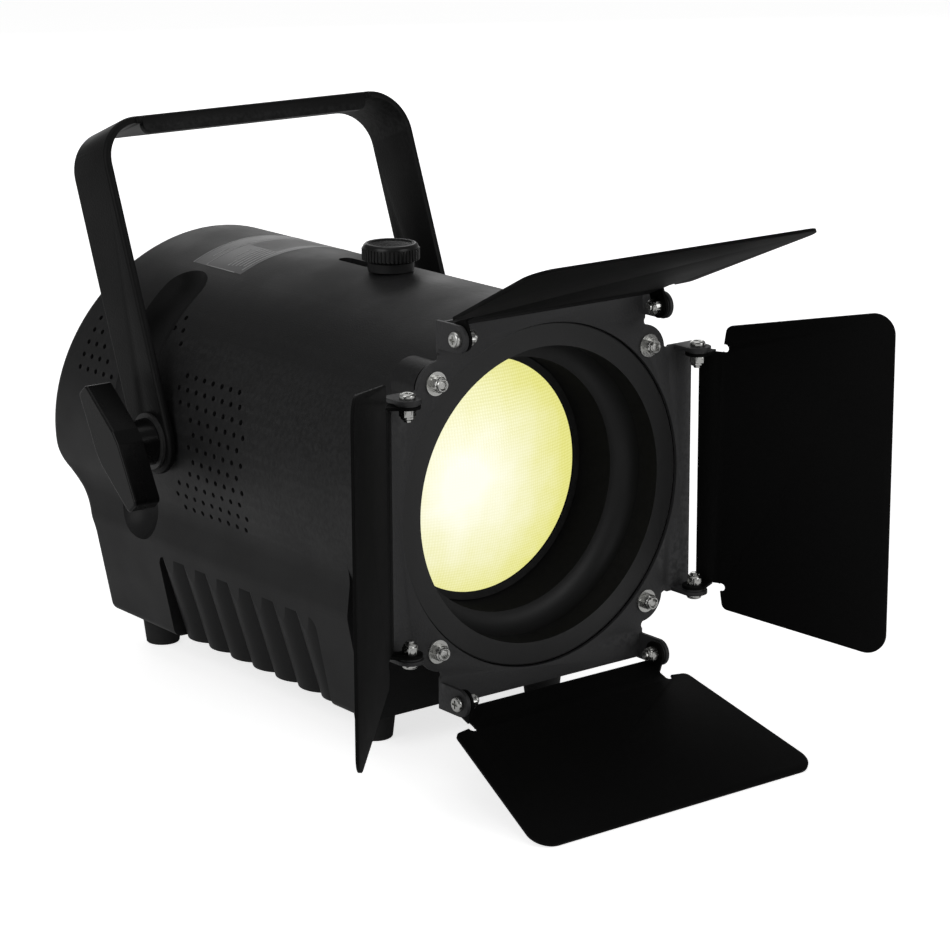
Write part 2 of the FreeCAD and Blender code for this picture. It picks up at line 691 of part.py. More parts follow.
def plate_tabs():
    tabs = []
    upright = plate_tab(HINGE_TB, HINGE_TB_FORWARD)
    sideways = turned(plate_tab(HINGE_LR, HINGE_LR_FORWARD), 90, ORIGIN, Y)
    for tab in (upright, sideways):
        for copy in (tab, mirrored(tab)):
            tabs += [copy, mirrored(copy, Z)]
    return tabs


def corner_places():
    return [(sx * STUD_AT, sz * STUD_AT) for sx in SIDES for sz in SIDES]


def corner_studs():
    return [rod(1.48, 17.5, (x, -5.6, z)) for x, z in corner_places()]


def corner_washers():
    return [ring(4.5, 1.6, 0.8, (x, -0.8, z)) for x, z in corner_places()]


def corner_nuts():
    nut = lock_nut(3.0, 5.5, 4.0)
    return [aimed(nut, (x, -0.8, z), (0, -1, 0)) for x, z in corner_places()]


def corner_spacers():
    return [ring(4.0, 1.6, BARREL_FRONT - PLATE_T, (x, PLATE_T, z)) for x, z in corner_places()]


# --- doors --------------------------------------------------------------------
LEAF_GAP = 0.8               # washer between the plate tab and the leaf tab


def flat_leaf(offset, inner):
    """Leaf with its hinge axis on X through the origin, reaching along +Z, sheet on the +Y side."""
    step, reach = LEAF_STEP, LEAF_REACH
    tongue, middle_half, half = LEAF_TONGUE_HALF, LEAF_STEP_HALF, LEAF_HALF
    outline = [(-tongue, inner), (tongue, inner), (tongue, step - 1.5), (middle_half, step),
               (half, reach), (-half, reach), (-middle_half, step), (-tongue, step - 1.5)]
    corners = [Vector(x, offset - LEAF_T / 2, z) for x, z in outline]
    sheet = Part.Face(Part.makePolygon(corners + corners[:1])).extrude(Y * LEAF_T)
    sheet = round_edges(sheet, 8, lambda e: runs_along(e, Y) and middle(e).z > reach - 1)
    sheet = round_edges(sheet, 3, lambda e: runs_along(e, Y) and 0 < middle(e).z < 20
                        and abs(middle(e).x) > middle_half - 1)
    for side in SIDES:
        sheet = sheet.cut(rod(1.6, 20, (side * (tongue + 1.6), offset - 10, step - 0.6)))
        tab_x = ARM_HALF - PLATE_T - LEAF_GAP - LEAF_T
        tip = Part.makeCylinder(TAB_R - 0.4, LEAF_T, Vector(tab_x, 0, 0), X)
        root = block(tab_x, tab_x + LEAF_T, 0, offset + LEAF_T / 2, -TAB_R + 0.4, TAB_R - 0.4)
        root = root.common(block(0, 99, -9, 9, inner, 9))
        tab = tip.fuse(root).removeSplitter().cut(
            Part.makeCylinder(PIN_R + PIN_CLEARANCE, 4, Vector(tab_x - 1, 0, 0), X))
        sheet = sheet.fuse(tab if side > 0 else mirrored(tab))
    return sheet.removeSplitter()


def door(name):
    upright = name in ("top", "bottom")
    offset = LEAF_OFFSET_TB if upright else LEAF_OFFSET_LR
    hinge = HINGE_TB if upright else HINGE_LR
    forward = HINGE_TB_FORWARD if upright else HINGE_LR_FORWARD
    inner = LEAF_INNER_TB if upright else LEAF_INNER_LR
    leaf = turned(flat_leaf(offset, inner), DOOR_OPEN[name])
    leaf.translate(Vector(0, -forward, hinge))
    quarter_turns = {"top": 0, "right": 90, "bottom": 180, "left": 270}[name]
    return turned(leaf, quarter_turns, ORIGIN, Y)


def on_hinges(piece_at):
    """Place a fastener at both ends of all four hinges; piece_at(hinge, forward) draws the plus X end."""
    placed = []
    for hinge, forward, turn in ((HINGE_TB, HINGE_TB_FORWARD, 0), (HINGE_LR, HINGE_LR_FORWARD, 90)):
        piece = turned(piece_at(hinge, forward), turn, ORIGIN, Y)
        for copy in (piece, mirrored(piece)):
            placed += [copy, mirrored(copy, Z)]
    return placed


def hinge_screws():
    screw = pan_screw(3.0, 10.6)
    return on_hinges(lambda hinge, forward: aimed(screw, (ARM_HALF, -forward, hinge), (1, 0, 0)))


def hinge_nuts():
    seat = ARM_HALF - PLATE_T - LEAF_GAP - LEAF_T - 0.05
    nut = lock_nut(3.0, 5.5, 4.0)
    return on_hinges(lambda hinge, forward: aimed(nut, (seat, -forward, hinge), (-1, 0, 0)))


def hinge_washers():
    start = ARM_HALF - PLATE_T - LEAF_GAP + 0.05
    return on_hinges(lambda hinge, forward: Part.makeCylinder(
        4.4, LEAF_GAP - 0.1, Vector(start, -forward, hinge), X).cut(
        Part.makeCylinder(PIN_R + PIN_CLEARANCE, 2, Vector(start - 0.5, -forward, hinge), X)))


# --- yoke and wing knobs ------------------------------------------------------
def yoke():
    """Bent strap, drawn upright over the pivot and then leaned to the rear."""
    half = YOKE_WIDTH / 2

    def arch(width, top, radius):
        solid = block(-width, width, -half, half, -half, top)
        return round_edges(solid, radius, lambda e: runs_along(e, Y) and middle(e).z > top - 1)

    strap = arch(YOKE_HALF, YOKE_RISE, YOKE_CORNER_R)
    inner = block(-YOKE_HALF + YOKE_T, YOKE_HALF - YOKE_T, -half - 1, half + 1,
                  -half - 1, YOKE_RISE - YOKE_T)
    inner = round_edges(inner, YOKE_CORNER_R - YOKE_T,
                        lambda e: runs_along(e, Y) and middle(e).z > YOKE_RISE - YOKE_T - 1)
    strap = strap.cut(inner)
    ends = Part.makeCylinder(half, 2 * YOKE_HALF, Vector(-YOKE_HALF, 0, 0), X)
    strap = strap.common(ends.fuse(block(-YOKE_HALF, YOKE_HALF, -half, half, 0, YOKE_RISE)))
    low = YOKE_RISE - YOKE_FLANGE
    flange = block(-YOKE_FLANGE_HALF, YOKE_FLANGE_HALF, -half, -half + YOKE_T, low, YOKE_RISE)
    flange = round_edges(flange, 3.5, lambda e: runs_along(e, Y) and middle(e).z < low + 1)
    strap = joined([strap, flange])
    strap = round_edges(strap, 1.6, lambda e: runs_along(e, X) and middle(e).z > YOKE_RISE - 0.1
                        and middle(e).y < 0)
    for side in SIDES:
        corner = Vector(side * (YOKE_FLANGE_HALF + 1.8), -half - 0.4, YOKE_RISE - 6)
        relief = Part.makeCylinder(1.8, 12, corner, Z)
        strap = strap.cut(relief)
    strap = strap.cut(Part.makeCylinder(HANGING_HOLE_R, 20, Vector(0, 0, YOKE_RISE - 10)))
    strap = strap.cut(Part.makeCylinder(KNOB_STUD_R + 0.06, 200, Vector(-100, 0, 0), X))
    strap = turned(strap, -YOKE_TILT)
    strap.translate(PIVOT)
    return strap


def pivot_washer(side):
    """Friction disc between the housing and the yoke leg."""
    start = BARREL_R + 0.05
    length = YOKE_HALF - YOKE_T - start - 0.1
    return Part.makeCylinder(11, length, Vector(side * start, PIVOT_Y, PIVOT_Z), X * side).cut(
        Part.makeCylinder(KNOB_STUD_R + 0.3, 10, Vector(side * (start - 1), PIVOT_Y, PIVOT_Z), X * side))


def outer_washer(side):
    start = YOKE_HALF + 0.1
    return Part.makeCylinder(11.5, 1.2, Vector(side * start, PIVOT_Y, PIVOT_Z), X * side).cut(
        Part.makeCylinder(KNOB_STUD_R + 0.3, 10, Vector(side * (start - 1), PIVOT_Y, PIVOT_Z), X * side))


def pivot_insert(side):
    """Threaded brass insert moulded into the housing boss."""
    return Part.makeCylinder(5.98, 10.4, Vector(side * (BARREL_R - 12), PIVOT_Y, PIVOT_Z), X * side).cut(
        Part.makeCylinder(KNOB_STUD_R + PIN_CLEARANCE, 20,
                          Vector(side * (BARREL_R - 16), PIVOT_Y, PIVOT_Z), X * side))


WING_TILT = 40.0             # top end leans to the rear
WING_HALF_LENGTH = 27.5
WING_HALF_WIDTH = 8.8
WING_END_HALF = 3.6
WING_DEPTH = 11.5
HUB_START = YOKE_HALF + 1.4
HUB_LENGTH = 7.5


def wing(side):
    """Glossy wing knob: a lozenge bar over a round hub."""
    hub = Part.makeCone(9.6, 8.8, HUB_LENGTH, Vector(HUB_START, 0, 0), X)
    start = HUB_START + HUB_LENGTH
    length, width, end = WING_HALF_LENGTH, WING_HALF_WIDTH, WING_END_HALF
    outline = [(-end, -length), (end, -length), (width, -3), (width, 3), (end, length), (-end, length),
               (-width, 3), (-width, -3)]
    corners = [Vector(start, y, z) for y, z in outline]
    bar = Part.Face(Part.makePolygon(corners + corners[:1])).extrude(X * WING_DEPTH)
    bar = round_edges(bar, 2.0, lambda e: runs_along(e, X))
    bar = round_edges(bar, 0.9, lambda e: middle(e).x > start + WING_DEPTH - 0.01)
    knob = joined([hub, bar])
    knob = turned(knob, -WING_TILT)
    knob.translate(PIVOT)
    return knob if side > 0 else mirrored(knob)


def wing_stud(side):
    """Threaded rod moulded into the wing knob."""
    tip = BARREL_R - 10
    stud = Part.makeCylinder(KNOB_STUD_R, HUB_START - tip, Vector(tip, PIVOT_Y, PIVOT_Z), X)
    return stud if side > 0 else mirrored(stud)


# --- write every node ---------------------------------------------------------
def build():
    os.makedirs("parts", exist_ok=True)
    save("main_housing", main_housing())
    save("front_bezel", front_bezel())
    save("light_tube", light_tube())
    save("lens", lens())
    save("lens_carriage", lens_carriage())
    save("lens_retainer", lens_retainer())
    save("focus_stud", focus_stud())
    save("slot_cover", slot_cover())
    save("knob_collar", knob_collar())
    save("focus_knob", focus_knob())
    save("guide_rails", *guide_rails())
    save("stay_plate", stay_plate())
    save("heat_sink", heat_sink())
    save("led_board", led_board())
    save("led_emitter", led_emitter())
    save("fan_frame", fan_frame())
    save("fan_rotor", fan_rotor())
    save("power_supply", power_supply())
    save("control_board", control_board())
    save("rear_panel", rear_panel())
    save("display_window", display_window())
    for number, x in enumerate(BUTTON_X, 1):
        save("menu_button_%d" % number, menu_button(x))
    save("data_socket_in", data_socket(-43, False))
    save("data_socket_out", data_socket(-15, True))
    save("power_inlet", power_inlet())
    screw = aimed(pan_screw(2.6, 7), (0, PANEL_T + 0.02, 0), (0, 1, 0))
    panel_screws = []
    for px, pz in panel_screw_places():
        placed = screw.copy()
        placed.translate(Vector(px, 0, pz))
        panel_screws.append(tilted_to_panel(placed))
    save("panel_screws", *panel_screws)
    save("rubber_feet", *rubber_feet())
    save("foot_screws", *foot_screws())
    save("barndoor_plate", barndoor_plate())
    save("corner_studs", *corner_studs())
    save("corner_washers", *corner_washers())
    save("corner_nuts", *corner_nuts())
    save("corner_spacers", *corner_spacers())
    for name in DOOR_OPEN:
        save("%s_door" % name, door(name))
    save("hinge_screws", *hinge_screws())
    save("hinge_nuts", *hinge_nuts())
    save("hinge_washers", *hinge_washers())
    save("yoke", yoke())
    for side, word in ((-1, "left"), (1, "right")):
        save("%s_pivot_washer" % word, pivot_washer(side))
        save("%s_knob_washer" % word, outer_washer(side))
        save("%s_pivot_insert" % word, pivot_insert(side))
        save("%s_wing_knob" % word, wing(side))
        save("%s_knob_stud" % word, wing_stud(side))


build()
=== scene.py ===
import json
import math

import bmesh
import bpy
from bpy.props import FloatProperty, FloatVectorProperty, IntProperty, PointerProperty
from mathutils import Matrix, Vector

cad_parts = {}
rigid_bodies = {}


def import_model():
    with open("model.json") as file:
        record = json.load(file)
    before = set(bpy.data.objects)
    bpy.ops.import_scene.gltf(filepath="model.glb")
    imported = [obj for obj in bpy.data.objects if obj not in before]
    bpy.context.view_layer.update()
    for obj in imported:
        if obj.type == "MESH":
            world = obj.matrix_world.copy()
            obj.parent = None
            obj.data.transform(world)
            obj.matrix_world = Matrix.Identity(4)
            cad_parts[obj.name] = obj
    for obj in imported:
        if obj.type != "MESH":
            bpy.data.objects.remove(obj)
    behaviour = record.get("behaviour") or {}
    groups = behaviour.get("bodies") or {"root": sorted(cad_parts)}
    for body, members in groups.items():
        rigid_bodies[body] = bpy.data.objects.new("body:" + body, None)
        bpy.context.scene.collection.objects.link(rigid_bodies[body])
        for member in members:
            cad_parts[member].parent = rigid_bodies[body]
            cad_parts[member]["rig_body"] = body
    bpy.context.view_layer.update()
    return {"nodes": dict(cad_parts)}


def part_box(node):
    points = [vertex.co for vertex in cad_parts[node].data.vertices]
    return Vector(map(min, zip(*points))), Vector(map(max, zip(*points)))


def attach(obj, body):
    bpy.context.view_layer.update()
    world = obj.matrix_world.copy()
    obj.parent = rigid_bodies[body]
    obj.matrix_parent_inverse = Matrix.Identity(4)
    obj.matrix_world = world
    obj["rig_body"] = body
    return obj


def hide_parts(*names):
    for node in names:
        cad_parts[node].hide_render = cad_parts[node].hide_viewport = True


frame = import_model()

bl_info = {
    "name": "Fresnel Spotlight",
    "version": (1, 0, 0),
    "blender": (4, 5, 0),
    "location": "3D View > Sidebar > Spotlight",
    "description": "Finishes, fasteners and studio for the packed fresnel spotlight",
    "category": "Add Mesh",
}

NODES = frame["nodes"]


# --- sizes and colours --------------------------------------------------------
def colour_property(name, description, default):
    return FloatVectorProperty(name=name, description=description, default=default, subtype="COLOR",
                               size=3, min=0.0, max=1.0)


def length_property(name, description, default):
    return FloatProperty(name=name, description=description, default=default, subtype="DISTANCE",
                         unit="LENGTH", min=0.0, precision=5)


class FinishSettings(bpy.types.PropertyGroup):
    mould_colour: colour_property("Mould", "Textured plastic of the housing", (0.0105, 0.0105, 0.0108))
    plate_colour: colour_property("Door plate", "Powder coat of the square plate", (0.036, 0.036, 0.037))
    leaf_colour: colour_property("Door leaves", "Powder coat of the leaves", (0.0020, 0.0020, 0.0020))
    yoke_colour: colour_property("Yoke", "Powder coat of the yoke", (0.0030, 0.0030, 0.0031))
    gloss_colour: colour_property("Wing knobs", "Polished black plastic", (0.003, 0.003, 0.003))
    zinc_colour: colour_property("Zinc", "Plated nuts, screws and washers", (0.62, 0.62, 0.60))
    grain_size: length_property("Grain size", "Width of one grain of the mould texture", 0.00055)
    grain_depth: length_property("Grain depth", "Height of the mould texture", 0.00006)


def amount_property(name, description, default):
    return FloatProperty(name=name, description=description, default=default, min=0.0)


def power_property(name, description, default):
    return FloatProperty(name=name, description=description, default=default, min=0.0, unit="POWER")


class GlowSettings(bpy.types.PropertyGroup):
    middle: colour_property("Middle glow", "Light of the lens at its centre", (1.0, 0.99, 0.86))
    edge: colour_property("Edge glow", "Light of the lens near its rim", (0.86, 0.84, 0.30))
    strength: amount_property("Strength", "Brightness of the lit lens", 1.0)
    spill: amount_property("Spill", "Light the lens throws on its surroundings", 0.004)
    shift: length_property("Shift", "Brightest spot, to the left of the middle", 0.014)
    stipple: length_property("Stipple", "Width of one dimple on the lens", 0.0012)


class HardwareSettings(bpy.types.PropertyGroup):
    across_flats: length_property("Across flats", "Width of a lock nut", 0.0055)
    nut_height: length_property("Nut height", "Seat to the end of the collar", 0.004)
    thread: length_property("Thread", "Outer diameter of the studs", 0.003)
    ridges: IntProperty(name="Ridges", description="Ridges round the focus knob", default=44, min=8)
    ridge_radius: length_property("Ridge radius", "Radius of one ridge", 0.0005)
    fins: IntProperty(name="Fins", description="Fins on the heat sink", default=13, min=2)


class StudioSettings(bpy.types.PropertyGroup):
    floor_colour: colour_property("Floor", "Pale floor and backdrop", (0.92, 0.92, 0.92))
    key: power_property("Key", "Large soft light, front left", 10.0)
    top: power_property("Top", "Overhead soft light", 5.5)
    side: power_property("Side", "Soft light from the right", 7.5)
    rear: power_property("Rear", "Soft light from behind", 5.0)
    ambient: amount_property("Ambient", "Even light from all round", 0.22)
    floor_glow: amount_property("Floor glow", "Paleness of the floor itself", 0.8)
    floor_bounce: amount_property("Floor bounce", "Light the floor gives", 0.05)
    lens: FloatProperty(name="Focal length", description="Camera lens", default=116.28,
                        unit="CAMERA", min=1.0)


def settings(name):
    """The scene's values for one group of settings."""
    return getattr(bpy.context.scene, "spotlight_" + name)


# --- shader groups ------------------------------------------------------------
def new_group(name, inputs, outputs):
    tree = bpy.data.node_groups.new(name, "ShaderNodeTree")
    for label, kind, default in inputs:
        socket = tree.interface.new_socket(label, in_out="INPUT", socket_type=kind)
        if default is not None:
            socket.default_value = default
    for label, kind in outputs:
        tree.interface.new_socket(label, in_out="OUTPUT", socket_type=kind)
    return tree, tree.nodes.new("NodeGroupInput"), tree.nodes.new("NodeGroupOutput")


def add(tree, kind, **values):
    node = tree.nodes.new(kind)
    for key, value in values.items():
        setattr(node, key, value)
    return node


def maths(tree, operation, first, second=None, clamp=False):
    node = add(tree, "ShaderNodeMath", operation=operation, use_clamp=clamp)
    for socket, value in zip(node.inputs, (first, second)):
        if value is None:
            continue
        if isinstance(value, (int, float)):
            socket.default_value = value
        else:
            tree.links.new(value, socket)
    return node.outputs[0]


def ramp(tree, source, low, high):
    node = add(tree, "ShaderNodeMapRange")
    node.inputs["From Min"].default_value = low
    node.inputs["From Max"].default_value = high
    tree.links.new(source, node.inputs["Value"])
    return node.outputs["Result"]


def seen_directly(tree, seen, otherwise):
    """One value for what the camera sees and another for the light it gives to other things."""
    path = add(tree, "ShaderNodeLightPath")
    mix = add(tree, "ShaderNodeMix", data_type="FLOAT")
    mix.inputs["A"].default_value = otherwise
    mix.inputs["B"].default_value = seen
    tree.links.new(path.outputs["Is Camera Ray"], mix.inputs["Factor"])
    return mix.outputs[0]


def grain_group():
    """Fine moulded or sprayed grain: a height and a slow variation over the surface."""
    tree, start, end = new_group(
        "Fine Grain",
        [("Vector", "NodeSocketVector", None), ("Size", "NodeSocketFloat", 0.0005),
         ("Roughness", "NodeSocketFloat", 0.5), ("Spread", "NodeSocketFloat", 0.08)],
        [("Height", "NodeSocketFloat"), ("Roughness", "NodeSocketFloat"), ("Cloud", "NodeSocketFloat")])
    scale = maths(tree, "DIVIDE", 1.0, start.outputs["Size"])
    fine = add(tree, "ShaderNodeTexNoise")
    fine.inputs["Detail"].default_value = 2.0
    cells = add(tree, "ShaderNodeTexVoronoi", feature="SMOOTH_F1")
    cells.inputs["Smoothness"].default_value = 0.6
    for node in (fine, cells):
        tree.links.new(start.outputs["Vector"], node.inputs["Vector"])
        tree.links.new(scale, node.inputs["Scale"])
    height = maths(tree, "ADD", maths(tree, "MULTIPLY", fine.outputs[0], 0.6),
                   maths(tree, "MULTIPLY", cells.outputs["Distance"], 0.5))
    cloud = add(tree, "ShaderNodeTexNoise")
    cloud.inputs["Scale"].default_value = 38.0
    cloud.inputs["Detail"].default_value = 5.0
    tree.links.new(start.outputs["Vector"], cloud.inputs["Vector"])
    soft = ramp(tree, cloud.outputs[0], 0.32, 0.68)
    shift = maths(tree, "MULTIPLY", maths(tree, "SUBTRACT", soft, 0.5), start.outputs["Spread"])
    rough = maths(tree, "ADD", start.outputs["Roughness"], shift, clamp=True)
    tree.links.new(height, end.inputs["Height"])
    tree.links.new(rough, end.inputs["Roughness"])
    tree.links.new(soft, end.inputs["Cloud"])
    return tree


def handling_group():
    """Colour with faint dust on top faces, pale rubbed edges and cloudy smears."""
    tree, start, end = new_group(
        "Handling",
        [("Vector", "NodeSocketVector", None), ("Color", "NodeSocketColor", (0.05, 0.05, 0.05, 1)),
         ("Worn Color", "NodeSocketColor", (0.12, 0.12, 0.12, 1)), ("Dust", "NodeSocketFloat", 0.1),
         ("Wear", "NodeSocketFloat", 0.3), ("Cloud", "NodeSocketFloat", 0.5)],
        [("Color", "NodeSocketColor"), ("Mask", "NodeSocketFloat")])
    shape = add(tree, "ShaderNodeNewGeometry")
    specks = add(tree, "ShaderNodeTexNoise")
    specks.inputs["Scale"].default_value = 520.0
    specks.inputs["Detail"].default_value = 3.0
    tree.links.new(start.outputs["Vector"], specks.inputs["Vector"])
    split = add(tree, "ShaderNodeSeparateXYZ")
    tree.links.new(shape.outputs["Normal"], split.inputs[0])
    up = ramp(tree, split.outputs["Z"], 0.25, 1.0)
    dust = maths(tree, "MULTIPLY", maths(tree, "MULTIPLY", up, ramp(tree, specks.outputs[0], 0.5, 0.75)),
                 start.outputs["Dust"])
    rim = ramp(tree, shape.outputs["Pointiness"], 0.56, 0.68)
    edge = maths(tree, "MULTIPLY", rim, start.outputs["Wear"])
    worn = maths(tree, "MULTIPLY", edge, ramp(tree, specks.outputs[0], 0.35, 0.6))
    mask = maths(tree, "ADD", dust, worn, clamp=True)
    tint = add(tree, "ShaderNodeMix", data_type="RGBA", blend_type="MULTIPLY")
    tint.inputs[0].default_value = 1.0
    tree.links.new(start.outputs["Color"], tint.inputs["A"])
    shade = add(tree, "ShaderNodeCombineColor")
    level = maths(tree, "ADD", maths(tree, "MULTIPLY", start.outputs["Cloud"], 0.16), 0.92)
    for socket in shade.inputs[:3]:
        tree.links.new(level, socket)
    tree.links.new(shade.outputs[0], tint.inputs["B"])
    mix = add(tree, "ShaderNodeMix", data_type="RGBA")
    tree.links.new(mask, mix.inputs[0])
    tree.links.new(tint.outputs["Result"], mix.inputs["A"])
    tree.links.new(start.outputs["Worn Color"], mix.inputs["B"])
    tree.links.new(mix.outputs["Result"], end.inputs["Color"])
    tree.links.new(mask, end.inputs["Mask"])
    return tree


GROUPS = {}


def group(name, build):
    if name not in GROUPS:
        GROUPS[name] = build()
    return GROUPS[name]


def finish(name, colour, roughness, grain=0.0006, depth=0.00003, metallic=0.0, spread=0.1, dust=0.06,
           wear=0.25, stretch=(1, 1, 1), coat=0.0, specular=0.5, sheen=0.0):
    """A material made of the shared grain and handling groups with its own values."""
    material = bpy.data.materials.new(name)
    material.use_nodes = True
    tree = material.node_tree
    shader = tree.nodes["Principled BSDF"]
    place = add(tree, "ShaderNodeTexCoord")
    mapping = add(tree, "ShaderNodeMapping")
    mapping.inputs["Scale"].default_value = stretch
    tree.links.new(place.outputs["Object"], mapping.inputs["Vector"])
    fine = add(tree, "ShaderNodeGroup", node_tree=group("grain", grain_group))
    fine.inputs["Size"].default_value = grain
    fine.inputs["Roughness"].default_value = roughness
    fine.inputs["Spread"].default_value = spread
    tree.links.new(mapping.outputs[0], fine.inputs["Vector"])
    marks = add(tree, "ShaderNodeGroup", node_tree=group("handling", handling_group))
    marks.inputs["Color"].default_value = (*colour, 1)
    worn = [min(1.0, c * 2.4 + 0.03) for c in colour]
    marks.inputs["Worn Color"].default_value = (*worn, 1)
    marks.inputs["Dust"].default_value = dust
    marks.inputs["Wear"].default_value = wear
    tree.links.new(place.outputs["Object"], marks.inputs["Vector"])
    tree.links.new(fine.outputs["Cloud"], marks.inputs["Cloud"])
    bump = add(tree, "ShaderNodeBump")
    bump.inputs["Distance"].default_value = depth
    bump.inputs["Strength"].default_value = 1.0
    tree.links.new(fine.outputs["Height"], bump.inputs["Height"])
    tree.links.new(marks.outputs["Color"], shader.inputs["Base Color"])
    tree.links.new(fine.outputs["Roughness"], shader.inputs["Roughness"])
    tree.links.new(bump.outputs[0], shader.inputs["Normal"])
    shader.inputs["Metallic"].default_value = metallic
    shader.inputs["Coat Weight"].default_value = coat
    shader.inputs["Coat Roughness"].default_value = 0.08
    shader.inputs["Specular IOR Level"].default_value = specular
    shader.inputs["Sheen Weight"].default_value = sheen
    shader.inputs["Sheen Roughness"].default_value = 0.35
    return material


def lens_material():
    """Lit stippled glass: pale yellow, brighter and whiter towards the middle."""
    glow = settings("glow")
    material = bpy.data.materials.new("lit_lens")
    material.use_nodes = True
    tree = material.node_tree
    shader = tree.nodes["Principled BSDF"]
    place = add(tree, "ShaderNodeTexCoord")
    flat = add(tree, "ShaderNodeMapping")
    flat.inputs["Scale"].default_value = (1, 0, 1)
    tree.links.new(place.outputs["Object"], flat.inputs["Vector"])
    from_middle = add(tree, "ShaderNodeVectorMath", operation="SUBTRACT")
    from_middle.inputs[1].default_value = (-glow.shift, 0, 0)
    tree.links.new(flat.outputs[0], from_middle.inputs[0])
    length = add(tree, "ShaderNodeVectorMath", operation="LENGTH")
    tree.links.new(from_middle.outputs[0], length.inputs[0])
    swirl = add(tree, "ShaderNodeTexNoise")
    swirl.inputs["Scale"].default_value = 75.0
    tree.links.new(flat.outputs[0], swirl.inputs["Vector"])
    uneven = maths(tree, "MULTIPLY", maths(tree, "SUBTRACT", swirl.outputs[0], 0.5), 0.022)
    blend = ramp(tree, maths(tree, "ADD", length.outputs["Value"], uneven), 0.008, 0.055)
    dimples = add(tree, "ShaderNodeTexVoronoi", feature="F1")
    dimples.inputs["Scale"].default_value = 1.0 / glow.stipple
    dimples.inputs["Randomness"].default_value = 0.12
    tree.links.new(flat.outputs[0], dimples.inputs["Vector"])
    dots = ramp(tree, dimples.outputs["Distance"], 0.12, 0.62)
    colour = add(tree, "ShaderNodeMix", data_type="RGBA")
    colour.inputs["A"].default_value = (*glow.middle, 1)
    colour.inputs["B"].default_value = (*glow.edge, 1)
    tree.links.new(blend, colour.inputs[0])
    level = add(tree, "ShaderNodeMix", data_type="RGBA", blend_type="MULTIPLY")
    dimple_depth = maths(tree, "ADD", 0.04, maths(tree, "MULTIPLY", blend, 0.6))
    tree.links.new(maths(tree, "MULTIPLY", dots, dimple_depth), level.inputs[0])
    tree.links.new(colour.outputs["Result"], level.inputs["A"])
    level.inputs["B"].default_value = (0.74, 0.73, 0.42, 1)
    tree.links.new(level.outputs["Result"], shader.inputs["Emission Color"])
    tree.links.new(seen_directly(tree, glow.strength, glow.spill), shader.inputs["Emission Strength"])
    shader.inputs["Base Color"].default_value = (0.10, 0.10, 0.06, 1)
    shader.inputs["Roughness"].default_value = 0.16
    bump = add(tree, "ShaderNodeBump")
    bump.inputs["Distance"].default_value = 0.00012
    tree.links.new(dots, bump.inputs["Height"])
    tree.links.new(bump.outputs[0], shader.inputs["Normal"])
    return material


MATERIALS = {}


